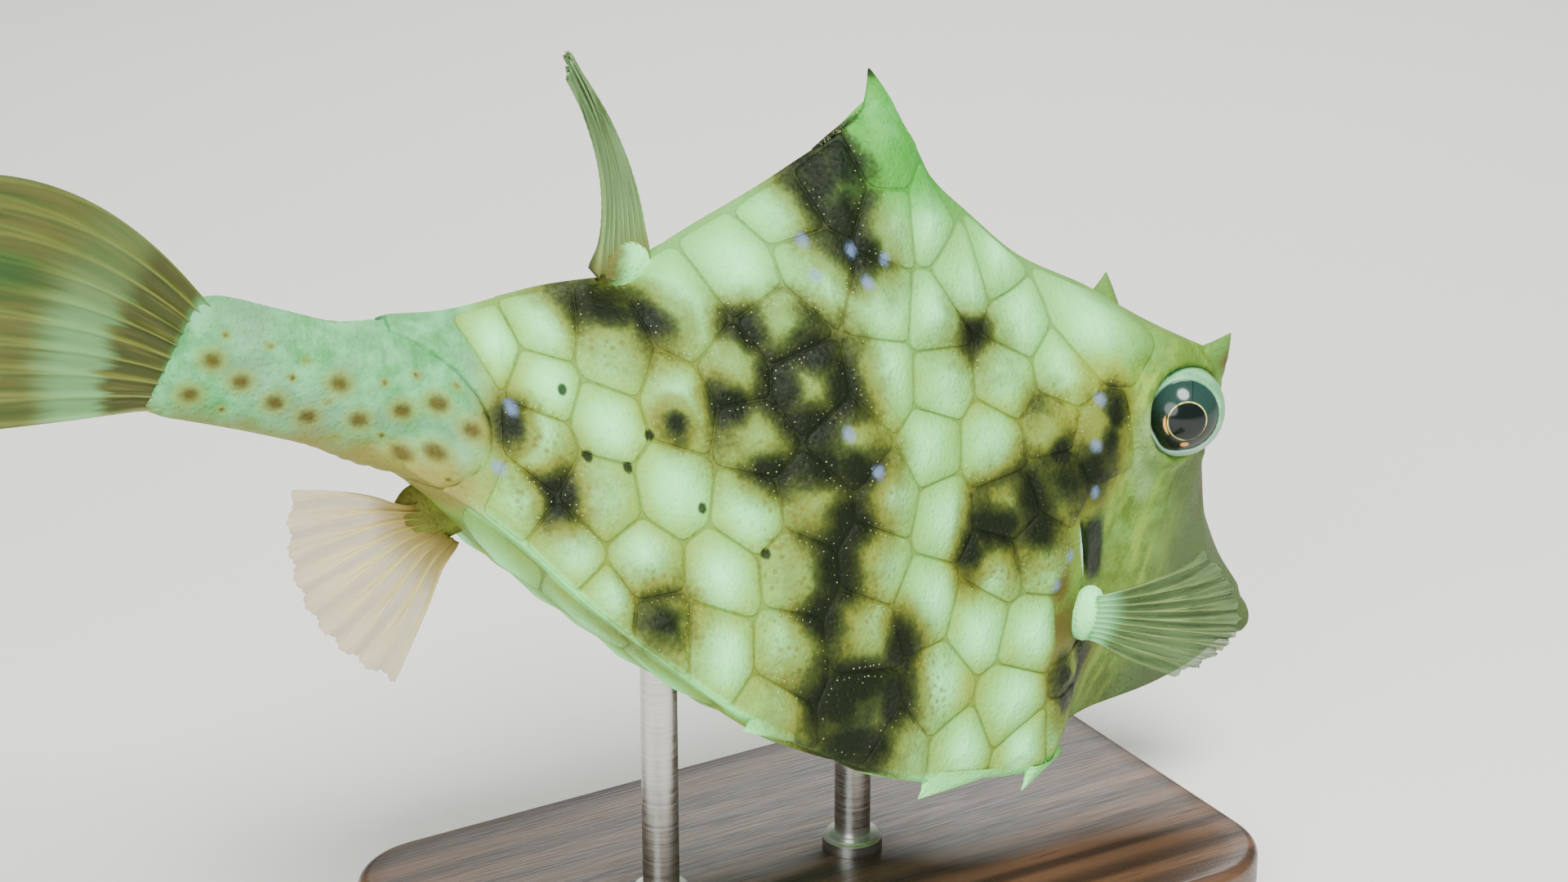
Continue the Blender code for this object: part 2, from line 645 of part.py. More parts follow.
def make_carapace(to_fish):
    stations = np.arange(NECK + JOINT_MARGIN, SHELL_END - JOINT_MARGIN, SHELL_STATION)
    shell = loft("carapace", [section(s) for s in (NECK + GAP / 2, *stations, SHELL_END)])
    draw = random.Random(7)
    grown = [thorn("hump_thorn", *HUMP_THORN)]
    for side in (1, -1):
        seeds = lattice((0.049, -0.020), (0.142, 0.066), PLATE_SIZE, draw)
        walls = flank_walls(*FLANK_PLATES)
        grown += plates(seeds, PLATE_SIZE, walls, lambda p, lift: surface(p.x, p.y, side, lift))
        grown += [thorn("ridge_thorn", *sizes, side) for sizes in RIDGE_THORNS]
    seeds = lattice((0.047, -0.030), (0.132, 0.032), BELLY_PLATE_SIZE, draw)
    walls = belly_walls(*BELLY_PLATES)
    grown += plates(seeds, BELLY_PLATE_SIZE, walls, lambda p, lift: under(p.x, p.y, lift))
    combine(shell, grown, "UNION")
    cutters = [make_stalk("socket", GAP), rim_cutter()]
    cutters += [lobe("pocket", DORSAL, 1, GAP), lobe("pocket", ANAL, 1, GAP)]
    for side in (1, -1):
        cutters += [lobe("pocket", PECTORAL, side, GAP), gill_cutter(side)]
    for index in (0, 1):
        cutter = stand_rod("rod_socket", index, GAP)
        cutter.data.transform(to_fish)
        cutters.append(cutter)
    combine(shell, cutters, "DIFFERENCE")
    return shell


def rim_cutter():
    rings = []
    for y in (-RIM_REACH, RIM_REACH):
        angles = [2 * math.pi * i / RIM_SIDES for i in range(RIM_SIDES)]
        rings.append([
            at(RIM_AT[0] + RIM_HALF[0] * math.cos(a), y, RIM_AT[1] + RIM_HALF[1] * math.sin(a)) for a in angles
        ])
    return loft("rim", rings)


def gill_cutter(side):
    s = (GILL_TOP[0] + GILL_BOTTOM[0]) / 2
    z = (GILL_TOP[1] + GILL_BOTTOM[1]) / 2
    rise, run = GILL_TOP[1] - GILL_BOTTOM[1], GILL_TOP[0] - GILL_BOTTOM[0]
    turn = Matrix.Rotation(-math.atan2(run, rise), 4, "Y")
    centre = surface(s, z, side, 0)
    halves = (GILL_WIDTH, GILL_DEPTH, math.hypot(rise, run) / 2)
    return ellipsoid("gill", (-centre.x, centre.y, centre.z), halves, turn, segments=12, rings=12)


def make_stalk(name, grown):
    rings = []
    for k, (s, z, half_height, half_width, lead) in enumerate(STALK):
        angles = [2 * math.pi * i / STALK_SIDES for i in range(STALK_SIDES)]
        s += -grown if k == 0 else grown if k == len(STALK) - 1 else 0
        rings.append([
            at(
                s - lead * math.sin(a),
                (half_width + grown) * math.cos(a),
                z + (half_height + grown) * math.sin(a),
            )
            for a in angles
        ])
    return loft(name, rings)


def to_world():
    tip = Matrix.Rotation(PITCH, 4, "Y")
    return Matrix.Translation((SNOUT_X, 0, SNOUT_Z)) @ tip


def rod_top(index):
    """The middle of a rod's top in the world, inside the belly."""
    s = ROD_AT[index]
    return to_world() @ at(s, 0, along(BELLY, s)[0]) + Vector((0, 0, ROD_IN_BELLY))


def stand_rod(name, index, grown):
    top = rod_top(index)
    low = BASE_HEIGHT - ROD_IN_BASE + GAP - grown
    return rod(name, (top.x, 0), ROD_RADIUS + grown, low, top.z + grown)


def make_base():
    """A rounded plate whose top edge is eased, with a blind hole for each rod."""
    points = []
    for quarter in range(4):
        sign_x = 1 if quarter in (0, 3) else -1
        sign_y = 1 if quarter < 2 else -1
        x = sign_x * (BASE_LENGTH / 2 - BASE_CORNER)
        y = sign_y * (BASE_WIDTH / 2 - BASE_CORNER)
        for k in range(BASE_CORNER_STEPS + 1):
            a = math.radians(90 * (quarter + k / BASE_CORNER_STEPS))
            points.append((x, y, BASE_CORNER, a))

    def edge(inset, z):
        return [
            Vector((x + (r - inset) * math.cos(a), y + (r - inset) * math.sin(a), z)) for x, y, r, a in points
        ]

    base = loft("stand_base", [
        edge(0, 0), edge(0, BASE_HEIGHT - BASE_EDGE), edge(BASE_EDGE, BASE_HEIGHT),
    ])
    combine(base, [stand_rod("hole", index, GAP) for index in (0, 1)], "DIFFERENCE")
    return base


def finish(obj, name, colour, roughness=0.45, metallic=0.0, parent=None):
    obj.name = name
    obj.data.name = name
    obj.data.materials.clear()
    obj.data.materials.append(material(name, COLOURS[colour], roughness, metallic))
    obj.data.shade_smooth()
    obj.data.set_sharp_from_angle(angle=math.radians(35))
    obj.parent = parent


def main():
    for obj in list(bpy.data.objects):
        bpy.data.objects.remove(obj)
    fish = bpy.data.objects.new("fish_pose", None)
    fish.matrix_world = to_world()
    bpy.context.scene.collection.objects.link(fish)

    finish(make_head(), "head", "head", parent=fish)
    finish(make_lips("lips", 0), "lips", "lips", parent=fish)
    finish(make_carapace(to_world().inverted()), "carapace", "carapace", parent=fish)
    stalk = make_stalk("tail_stalk", 0)
    combine(stalk, [lobe("pocket", CAUDAL, 1, GAP)], "DIFFERENCE")
    finish(stalk, "tail_stalk", "tail_stalk", parent=fish)
    finish(fin_node("caudal_fin", CAUDAL), "caudal_fin", "caudal_fin", parent=fish)
    finish(fin_node("dorsal_fin", DORSAL), "dorsal_fin", "dorsal_fin", parent=fish)
    finish(fin_node("anal_fin", ANAL), "anal_fin", "anal_fin", parent=fish)
    for word, side in (("left", 1), ("right", -1)):
        finish(fin_node("fin", PECTORAL, side), "pectoral_fin_" + word, "pectoral_fin", parent=fish)
        s, y, z = EYE_AT
        eye = ellipsoid("eye", (s, y * side, z), [EYE_RADIUS] * 3, segments=16, rings=10)
        finish(eye, "eye_" + word, "eye", roughness=0.08, parent=fish)

    finish(make_base(), "stand_base", "base", roughness=0.5)
    for index, word in enumerate(("front", "rear")):
        finish(stand_rod("rod", index, 0), "stand_rod_" + word, "rod", roughness=0.3, metallic=1.0)


main()
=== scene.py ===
"""A life-size museum model of a humpback turretfish on its display stand."""

import math
from functools import partial

import bpy
import numpy as np
from mathutils import Matrix, Vector


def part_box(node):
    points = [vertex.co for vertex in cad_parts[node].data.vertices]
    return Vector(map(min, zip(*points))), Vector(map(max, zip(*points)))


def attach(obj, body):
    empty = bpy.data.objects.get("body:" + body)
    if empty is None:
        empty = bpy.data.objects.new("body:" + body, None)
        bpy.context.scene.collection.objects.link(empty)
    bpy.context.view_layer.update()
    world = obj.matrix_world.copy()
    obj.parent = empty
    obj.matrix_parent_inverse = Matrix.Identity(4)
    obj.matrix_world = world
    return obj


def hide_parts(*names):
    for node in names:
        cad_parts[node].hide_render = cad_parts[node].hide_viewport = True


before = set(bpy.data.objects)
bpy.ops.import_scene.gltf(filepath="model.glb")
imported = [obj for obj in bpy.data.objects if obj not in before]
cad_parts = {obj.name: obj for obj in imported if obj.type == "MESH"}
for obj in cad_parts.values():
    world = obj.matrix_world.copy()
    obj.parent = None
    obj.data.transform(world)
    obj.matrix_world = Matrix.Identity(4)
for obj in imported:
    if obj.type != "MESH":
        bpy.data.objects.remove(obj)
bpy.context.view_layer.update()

# Stand base: a plate of stained walnut with a routed, rounded top edge and a satin oil finish.
# It is cut from one board, with its grain running the long way.
BASE_CORNER = 0.012
BASE_EDGE = 0.0016
BASE_FOOT = 0.0005
CORNER_STEPS = 14
WALNUT_DARK = (0.030, 0.013, 0.006)
WALNUT_LIGHT = (0.105, 0.050, 0.024)
WALNUT_PORE = (0.012, 0.005, 0.003)


def put(made, values):
    """Sets or links the sockets of a node, by name or number."""
    for key, value in values.items():
        socket = made.inputs[key]
        if isinstance(value, bpy.types.NodeSocket):
            made.id_data.links.new(value, socket)
        else:
            socket.default_value = (*value, 1) if socket.type == "RGBA" else value


def node(near, kind, inputs=None, **settings):
    """A new node in the tree that another node or socket is in."""
    made = near.id_data.nodes.new(kind)
    for key, value in settings.items():
        setattr(made, key, value)
    put(made, inputs or {})
    return made


def fade(value, low, high, start=0.0, end=1.0):
    """A soft step from start to end as the value goes from low to high."""
    inputs = {0: value, 1: low, 2: high, 3: start, 4: end}
    return node(value, "ShaderNodeMapRange", inputs, interpolation_type="SMOOTHSTEP").outputs[0]


def tint(colour, *layers):
    """A colour with others laid over it, each as (colour, amount) or (colour, value, steps of its fade)."""
    for over, amount, *steps in layers:
        if steps:
            amount = fade(amount, *steps)
        colour = node(amount, "ShaderNodeMix", {0: amount, 6: colour, 7: over}, data_type="RGBA").outputs[2]
    return colour


def times(first, *others, kind="MULTIPLY"):
    for other in others:
        first = node(first, "ShaderNodeMath", {0: first, 1: other}, operation=kind).outputs[0]
    return first


def plus(*values):
    return times(*values, kind="ADD")


def stretch(place, *scale):
    return node(place, "ShaderNodeMapping", {"Vector": place, "Scale": scale}).outputs[0]


def mottle(place, scale, detail=3.0, rough=0.55):
    """Soft irregular noise over the place, with scale in spots per unit of the place."""
    inputs = {"Vector": place, "Scale": scale, "Detail": detail, "Roughness": rough}
    return node(place, "ShaderNodeTexNoise", inputs).outputs["Fac"]


def relief(height, depth, under=None):
    """A bump of the given depth in metres from a height of 0 to 1."""
    inputs = {"Height": height, "Distance": depth, "Strength": 1.0}
    if under is not None:
        inputs["Normal"] = under
    return node(height, "ShaderNodeBump", inputs).outputs[0]


def finish_with(name, **values):
    """A new material and its surface shader, with uniform values set on the shader's own sockets."""
    made = bpy.data.materials.new(name)
    made.use_nodes = True
    shader = made.node_tree.nodes["Principled BSDF"]
    put(shader, {key.replace("_", " "): value for key, value in values.items()})
    return made, shader


def show(name, data):
    """A new object in the scene."""
    made = bpy.data.objects.new(name, data)
    bpy.context.scene.collection.objects.link(made)
    return made


def piece(name, points, faces, finish, fields=None, patch=None):
    """A mesh object that rides on the root, with named fields per point and a bake layout."""
    points = np.asarray(points, dtype=np.float64).reshape(-1, 3)
    faces = np.asarray(faces, dtype=np.int64)
    mesh = bpy.data.meshes.new(name)
    count, sides = faces.shape
    mesh.vertices.add(len(points))
    mesh.vertices.foreach_set("co", points.astype(np.float32).ravel())
    mesh.loops.add(count * sides)
    mesh.loops.foreach_set("vertex_index", faces.astype(np.int32).ravel())
    mesh.polygons.add(count)
    mesh.polygons.foreach_set("loop_start", np.arange(0, count * sides, sides, dtype=np.int32))
    mesh.update(calc_edges=True)
    for key, values in (fields or {}).items():
        values = np.asarray(values, dtype=np.float32)
        kind, part = ("FLOAT", "value") if values.ndim == 1 else ("FLOAT_VECTOR", "vector")
        mesh.attributes.new(key, kind, "POINT").data.foreach_set(part, values.ravel())
    if patch is not None:
        layout = mesh.uv_layers.new(name="OFBake")
        layout.data.foreach_set("uv", np.asarray(patch, dtype=np.float32)[faces.ravel()].ravel())
    mesh.validate()
    mesh.shade_smooth()
    mesh.materials.append(finish)
    made = show(name, mesh)
    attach(made, "root")
    return made


def ring_faces(rows, columns, first=0):
    """Quads between rows of points that each close on themselves."""
    k, i = np.meshgrid(np.arange(rows - 1), np.arange(columns), indexing="ij")
    j = (i + 1) % columns
    quads = np.stack([k * columns + i, k * columns + j, (k + 1) * columns + j, (k + 1) * columns + i], -1)
    return first + quads.reshape(-1, 4)


def walnut_finish():
    made, shader = finish_with("walnut_stain", Roughness=0.42, Coat_Weight=0.25, Coat_Roughness=0.22)
    place = node(shader, "ShaderNodeTexCoord").outputs["Object"]
    board = stretch(place, 9, 95, 95)
    pore = mottle(stretch(place, 120, 2600, 2600), 1.0, detail=2.0)
    bands = {"Vector": board, "Scale": 0.55, "Distortion": 7.0, "Detail": 3.0, "Detail Scale": 1.4}
    rings = node(board, "ShaderNodeTexWave", bands, bands_direction="Y").outputs["Fac"]
    grain = plus(times(rings, 0.55), times(mottle(board, 1.0, detail=6.0), 0.55))
    colour = tint(WALNUT_DARK, (WALNUT_LIGHT, grain, 0.25, 0.85), (WALNUT_PORE, pore, 0.60, 0.72, 0, 0.6))
    rough = fade(pore, 0.35, 0.70, 0.36, 0.52)
    put(shader, {"Base Color": colour, "Roughness": rough, "Normal": relief(pore, 0.00006)})
    return made


low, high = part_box("stand_base")
half_x, half_y, top = (high[0] - low[0]) / 2, (high[1] - low[1]) / 2, high[2]
# Each step of the side's profile: how far it is inset from the edge, and its height
edge_turn = np.radians(np.linspace(0, 90, 8))
profile = [(BASE_FOOT, 0.0), (0.0, BASE_FOOT)]
profile += [(BASE_EDGE * (1 - math.cos(a)), top - BASE_EDGE * (1 - math.sin(a))) for a in edge_turn]
profile += [(inset, top) for inset in (0.004, 0.008, 0.0118)]
base_points = []
for inset, height in profile:
    for quarter in range(4):
        middle_x = (half_x - BASE_CORNER) * (1 if quarter in (0, 3) else -1)
        middle_y = (half_y - BASE_CORNER) * (1 if quarter < 2 else -1)
        for a in np.radians(90 * quarter + np.linspace(0, 90, CORNER_STEPS)):
            reach = BASE_CORNER - inset
            base_points.append((middle_x + reach * math.cos(a), middle_y + reach * math.sin(a), height))
around = 4 * CORNER_STEPS
base_faces = ring_faces(len(profile), around).tolist()
base_middle = len(base_points)
base_points += [(0, 0, top), (0, 0, 0)]
for i in range(around):
    j = (i + 1) % around
    base_faces += [(base_middle - around + i, base_middle - around + j, base_middle), (j, i, base_middle + 1)]
base_mesh = bpy.data.meshes.new("stand_base_board")
base_mesh.from_pydata(base_points, [], base_faces)
base_mesh.shade_smooth()
base_mesh.set_sharp_from_angle(angle=math.radians(40))
base_mesh.materials.append(walnut_finish())
base = show("stand_base_board", base_mesh)
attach(base, "root")
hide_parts("stand_base")

# Stand rods: two short bars of drawn stainless steel, brushed round, each set in a blind hole in the
# base with a small turned collar and pushed into a socket in the model's belly.
COLLAR_RADIUS = 0.0042
COLLAR_HEIGHT = 0.0022
ROD_SIDES = 64
ROD_CENTRE = 0.00001
STEEL_DULL = (0.50, 0.49, 0.47)
STEEL_BRIGHT = (0.66, 0.65, 0.62)


def steel_finish():
    made, shader = finish_with("brushed_steel", Metallic=1.0, Roughness=0.30)
    place = node(shader, "ShaderNodeTexCoord").outputs["Object"]
    brushing = mottle(stretch(place, 60, 60, 5200), 1.0, detail=4.0)
    blotch = mottle(place, 220.0)
    put(shader, {
        "Base Color": tint(STEEL_DULL, (STEEL_BRIGHT, brushing, 0.3, 0.7)),
        "Roughness": plus(fade(brushing, 0.3, 0.7, 0.24, 0.36), fade(blotch, 0.4, 0.7, 0, 0.06)),
        "Normal": relief(brushing, 0.00001),
    })
    return made


def whole_turn(count):
    return np.arange(count) * 2 * math.pi / count


steel = steel_finish()
for word in ("front", "rear"):
    low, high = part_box("stand_rod_" + word)
    middle_x, radius = (low[0] + high[0]) / 2, (high[0] - low[0]) / 2
    steps = [(ROD_CENTRE, low[2]), (radius, low[2]), (radius, top - 0.0001), (COLLAR_RADIUS, top + 0.00005)]
    steps += [(COLLAR_RADIUS, top + COLLAR_HEIGHT - 0.0005), (COLLAR_RADIUS - 0.0005, top + COLLAR_HEIGHT)]
    steps += [(radius + 0.0001, top + COLLAR_HEIGHT), (radius, top + COLLAR_HEIGHT + 0.0001)]
    steps += [(radius, high[2] - 0.0003), (radius - 0.0003, high[2]), (ROD_CENTRE, high[2])]
    turns = whole_turn(ROD_SIDES)
    rod_points = [(middle_x + r * math.cos(a), r * math.sin(a), z) for r, z in steps for a in turns]
    rod = piece("stand_rod_bar_" + word, rod_points, ring_faces(len(steps), ROD_SIDES), steel)
    rod.data.set_sharp_from_angle(angle=math.radians(35))
    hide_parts("stand_rod_" + word)

# Skin: one cast skin from the lips over the head and the box of the shell to the end of the tail
# stalk. It is tinted resin, folded round the eyes, the gill openings and the shell's rear opening.
PITCH = math.radians(16)
SNOUT = Vector((0.072, 0, 0.030))
# The rails of the body in millimetres: the keel and the middle of the belly as (s, z), the others as
# (s, y, z), where s is the distance behind the snout, y is across and z is the height above the mouth
KEEL = (
    (1.2, 3.6), (2.5, 4.8), (5, 6.8), (8, 9.6), (12, 14.2), (15.2, 18.2), (17.6, 23.2), (19.2, 28.6),
    (20.8, 33.2), (23.2, 37.2), (26.5, 39.4), (30.3, 40.6), (41.9, 44.5), (54.1, 47.4), (65.3, 52.7),
    (72.3, 56.6), (75.6, 60), (78.1, 62.5), (81.1, 65), (83.8, 66.7), (86.2, 63), (89.9, 59.6), (93.8, 56.4),
    (98.6, 52.5), (109.6, 44.4), (113, 41.5), (116, 38.5), (119.7, 37.9), (127, 36.2), (139.9, 31.7),
    (147.5, 30.5),
)
BROW = (
    (1.2, 2.2, 3), (5, 3, 5.8), (8, 3.2, 8.4), (12, 3.4, 13), (15.5, 3.6, 17.8), (19, 4.2, 26.6),
    (22, 7, 34.5), (25, 10.2, 38.4), (28, 12.5, 40.5), (34, 13.5, 41.5), (42, 11.2, 41.2), (52, 9.2, 40.5),
    (68, 8, 44), (83, 7.2, 50.5), (92, 7.2, 47), (104, 7.2, 39.5), (125, 6.2, 32), (139, 4.5, 29),
    (147.5, 3, 28.8),
)
FLANK = (
    (1.2, 3.4, 0.6), (5, 4.6, 2.4), (8, 5.4, 4.2), (12, 6.6, 7.8), (18, 8, 16.2), (24, 11.2, 22.2),
    (33, 15, 25.2), (42, 16.8, 25.8), (52, 18.2, 22.5), (68, 18.8, 20.5), (85, 19.8, 26.5), (104, 18, 22.5),
    (125, 13.4, 21.5), (139, 8.8, 22.5), (147.5, 4.5, 24),
)
WAIST = (
    (1.2, 3.2, -2.2), (5, 4.8, -2.6), (8, 6.2, -2.6), (12, 7.8, -1.4), (18, 9.4, 1), (26, 12.2, 2.6),
    (36, 15, 3), (42, 17.8, 2), (47, 22, 0), (52, 24.2, -1.5), (68, 26.4, -1.5), (85, 28, 3),
    (104, 25.8, 5.5), (125, 19.2, 11.5), (139, 10.6, 17), (147.5, 4.5, 19),
)
RIDGE = (
    (1.2, 2.2, -3.6), (5, 3.6, -5.4), (10, 5.3, -7.8), (18, 7, -10.8), (27.5, 8.5, -13.4), (36, 12.5, -15),
    (42, 19.5, -16), (47, 24.3, -16.5), (52, 26.2, -17), (71.6, 31.2, -16.5), (85, 34, -13.8),
    (104, 33.5, -8), (111.9, 31.5, -4.2), (125.1, 24.5, 3), (132.3, 18.5, 8), (138.7, 12, 11.3),
    (147.5, 5, 14),
)
BELLY = (
    (1.2, -4.2), (5, -6.3), (10, -8.6), (18, -11.8), (27.5, -14.6), (36, -16.8), (42, -18), (52, -19.2),
    (71.6, -19), (85, -16.5), (104, -10.5), (111.9, -6.5), (125.1, 0.5), (132.3, 4.8), (138.7, 9),
    (147.5, 13),
)
# The tail stalk as s, the height of its middle, its half height, half width, and its top's lead
STALK = (
    (129, 19.2, 4.5, 4, 0), (134, 19.4, 7.2, 6.8, 0), (139, 19.7, 8.5, 7.6, 0), (147, 20, 8.5, 6.4, 0),
    (155, 21.1, 7.8, 5, 0), (163, 22.1, 7.7, 3.8, 1.2), (171.2, 22.9, 7.8, 2.6, 2), (173.5, 23, 7.4, 2, 2),
    (175.2, 23, 6.8, 1, 2),
)
REAR_START = 0.125
SHELL_END = 0.1472
STALK_MIDDLE = 0.0195
RIM_AT = (0.1510, 0.0190)
RIM_HALF = (0.0160, 0.0106)
FLANK_COLUMNS = 130
BELLY_COLUMNS = 34
EYE_AT = (0.0322, 0.0138, 0.0320)
EYE_RADIUS = 0.0062
LID_REACH = 0.0115
LID_FOLD = (0.0070, 0.0013, 0.0016)
LID_SINK = (0.0063, 0.0012, 0.0030)
EYE_FACES = (0.05, 0.98, 0.10)
NOSTRIL_AT = (0.0215, 0.0262)
GILL_TOP = (0.0481, 0.0166)
GILL_BOTTOM = (0.0453, 0.0086)
GILL_WIDE = 0.0004
GILL_DEEP = 0.0020
GILL_LIP_AT = 0.0009
GILL_LIP_HIGH = 0.0005
LIPS_AT = (0.0004, 0.0, -0.0012)
LIPS_HALF = (0.0026, 0.0017)
LIPS_BEAD = 0.0015
LIPS_LEAN = math.radians(14)
# The skin's rings in the mouth as (depth, share of the lips' size), round the lips in degrees, along the
# body as (first, end, step), and into the groove round the stalk as (step back, depth)
MOUTH_RINGS = ((0.0060, 0.05), (0.0045, 0.35), (0.0025, 0.50))
LIP_RINGS = (165, 140, 115, 90, 65, 40, 15)
BODY_RINGS = ((0.0022, 0.0380, 0.00044), (0.0380, 0.0520, 0.00031), (0.0520, REAR_START, 0.00098))
GROOVE_RINGS = ((0.0002, 0.0001), (0.0003, 0.0004), (0.0002, 0.0008))


def unit(vectors):
    return vectors / np.linalg.norm(vectors, axis=-1, keepdims=True)


def tangents_of(slopes):
    """The slopes at the points of a curve that keeps to its points' own rises and falls."""
    before, after = slopes[..., :-1, :], slopes[..., 1:, :]
    mean = 2 * before * after / np.where(before + after == 0, 1, before + after)
    inner = np.where(before * after > 0, mean, 0)
    return np.concatenate([slopes[..., :1, :], inner, slopes[..., -1:, :]], axis=-2)


def along_curve(here, there, leaving, arriving, u):
    """The place at u from 0 to 1 on the curve from here to there."""
    return (
        here * (1 + 2 * u) * (1 - u) ** 2 + there * u * u * (3 - 2 * u)
        + leaving * u * (1 - u) ** 2 - arriving * u * u * (1 - u)
    )


def rail_point(rail, s):
    """The rail's values at every s in metres."""
    table = np.asarray(rail) / 1000
    knots, rows = table[:, 0], table[:, 1:]
    steps = np.diff(knots)[:, None]
    tangents = tangents_of(np.diff(rows, axis=0) / steps)
    s = np.clip(s, knots[0], knots[-1])
    i = np.clip(np.searchsorted(knots, s, side="right") - 1, 0, len(knots) - 2)
    u = ((s - knots[i]) / steps[i, 0])[..., None]
    return along_curve(rows[i], rows[i + 1], steps[i] * tangents[i], steps[i] * tangents[i + 1], u)


def flank_point(s, t):
    """(y, z) on the flank at every s, with t from 0 on the keel to 1 on the ventral ridge."""
    s, t = np.broadcast_arrays(np.asarray(s, float), np.asarray(t, float))
    keel = rail_point(KEEL, s)
    rows = [np.concatenate([np.zeros_like(keel), keel], axis=-1)]
    rows = np.stack(rows + [rail_point(rail, s) for rail in (BROW, FLANK, WAIST, RIDGE)], axis=-2)
    tangents = tangents_of(np.diff(rows, axis=-2))
    i = np.clip((4 * t).astype(int), 0, 3)
    ends = (
        np.take_along_axis(values, k[..., None, None], axis=-2)[..., 0, :]
        for values in (rows, tangents) for k in (i, i + 1)
    )
    return along_curve(*ends, (4 * t - i)[..., None])


def belly_point(s, t):
    """(y, z) on the belly at every s, with t from 0 on the ventral ridge to 1 in the middle."""
    edge = rail_point(RIDGE, s)
    middle = rail_point(BELLY, s)[..., 0]
    return np.stack([edge[..., 0] * (1 - t), middle + (edge[..., 1] - middle) * (1 - t) ** 2], axis=-1)


def to_room(points):
    """Points (s, y, z) of the fish, as it swims level, in the room."""
    points = np.asarray(points, float)
    c, d = math.cos(PITCH), math.sin(PITCH)
    x, y, z = -points[..., 0], points[..., 1], points[..., 2]
    return np.stack([c * x + d * z + SNOUT.x, y, -d * x + c * z + SNOUT.z], axis=-1)


def side_point(s, z, lift=0.0, side=1):
    """Points (s, y, z) at height z on the flank of the given side, lifted off it."""
    s, z, lift = np.broadcast_arrays(np.asarray(s, float), np.asarray(z, float), np.asarray(lift, float))
    low, high = np.zeros(s.shape), np.ones(s.shape)
    for _ in range(22):
        middle = (low + high) / 2
        below = flank_point(s, middle)[..., 1] > z
        low, high = np.where(below, middle, low), np.where(below, high, middle)
    t = np.clip(low, 0.003, 0.997)
    found = flank_point(s, t)
    step_s, step_t = 0.0004, 0.003
    run = flank_point(s - step_s, t) - flank_point(s + step_s, t)
    fall = flank_point(s, t + step_t) - flank_point(s, t - step_t)
    run = np.concatenate([np.full(run.shape[:-1] + (1,), -2 * step_s), run], axis=-1)
    fall = np.concatenate([np.zeros(fall.shape[:-1] + (1,)), fall], axis=-1)
    normal = unit(np.cross(run, fall))
    normal *= np.where(normal[..., 1:2] < 0, -1, 1)
    points = np.stack([s, found[..., 0], found[..., 1]], axis=-1) + lift[..., None] * normal
    points[..., 1] *= side
    return points


# Markings on either flank in millimetres, each as (s, z) and its half length and half height if it has any
DARK_BLOTCHES = (
    (88.8, 57, 4.8, 6), (91.4, 54.8, 4.8, 7), (89, 51.6, 5, 6.2), (87.2, 47.2, 5.6, 4.2),
    (102, 35.6, 4.2, 3.4), (114.4, 35.2, 4.4, 2.8), (120.4, 35.2, 6, 2.8), (94.4, 35, 6.2, 5),
    (98.6, 30.6, 5, 6.4), (90.2, 31, 4.6, 6), (94.4, 26.4, 6.6, 5.2), (105.2, 27.2, 4, 3.4),
    (112.6, 24.4, 2.4, 2.4), (93.6, 21.6, 6.4, 4.4), (100.2, 20.8, 4.2, 3.4), (88.4, 22.4, 5.6, 4.6),
    (89.4, 15.8, 6.4, 5.8), (90.8, 10, 5.8, 6.4), (92.4, 4.4, 4.2, 5), (79.6, 0.4, 4.4, 4.6),
    (86.6, -3.6, 8.6, 5.4), (57.6, 19.2, 6.8, 5.6), (90.6, -6, 6.4, 5), (80.2, -5.2, 5.4, 6),
    (86, -10.4, 9, 4.6), (88.2, -5.6, 9.2, 7.8), (65, 15.6, 3.8, 5), (62.2, 16.2, 5.4, 4.6),
    (67.2, 12.4, 3, 4), (55.6, 15.4, 4.4, 4.2), (53, 25.4, 2.4, 3.6), (52.6, 21.6, 6, 4.4),
    (47.4, 23.8, 4, 4.4), (45.4, 27.4, 2.7, 4.8), (44.8, 30.8, 2.3, 3.8), (67.5, 38.6, 3.4, 2.7),
    (47.5, -3.8, 3, 3.2), (44.8, -7.2, 3.4, 3.8), (41, -4.4, 3.8, 4.6), (127.8, 14.2, 3.4, 3.4),
    (133.4, 21, 2.6, 2.8), (115.2, 2.6, 3.6, 3.4),
)
SOFT_BLOTCHES = (
    (93.6, 22, 9.5, 7.5), (89, 15, 8.5, 8), (91, 8, 8, 8), (80, -1, 8.5, 8), (87, -6, 12, 8.5),
    (99, 33, 13, 9), (67.5, 38, 9, 7), (61, 14.5, 11, 8.5), (127.5, 14.5, 8.5, 7.5), (115.5, 2.8, 8, 7),
    (117, 33.5, 12, 6), (47.5, 27, 6, 10), (90, 50, 8, 13), (105.5, 24, 8, 7), (56, 30, 6, 6),
)
GILL_PATCH = (2.6, 4.9)
TAN_PATCHES = (
    (47.6, 34.6, 6, 5), (45.2, 29.6, 3, 6), (52, 30, 4, 4),
)
PALE_PATCHES = (
    (38, 25, 2.4, 4), (39.6, 29.6, 1.5, 5), (36, 21.6, 2, 3), (49.2, -0.2, 2.3, 0.9),
)
BROWN_PATCHES = (
    (25.6, 39.6, 2, 1.8), (18.6, 21, 1.3, 5), (48.4, 2.6, 3.9, 5.4), (50.8, 8.2, 2.2, 3.2),
)
BLACK_DOTS = (
    (124, 19.1), (116, 22.4), (118.9, 18.5), (100.5, 10.8), (109.4, 15.2), (127, 26),
)
BLUE_SPOTS = (
    (94.4, 47.4), (93.4, 43.7), (83.1, 46.9), (86.1, 43.9), (88, 47.3), (134.8, 16.1), (133.3, 23.1),
    (89.8, 26.1), (47.6, 26.8), (46.3, 20.5), (49.8, 12.2), (52.1, 8.4), (47, 32.6), (84.9, 21.9),
)
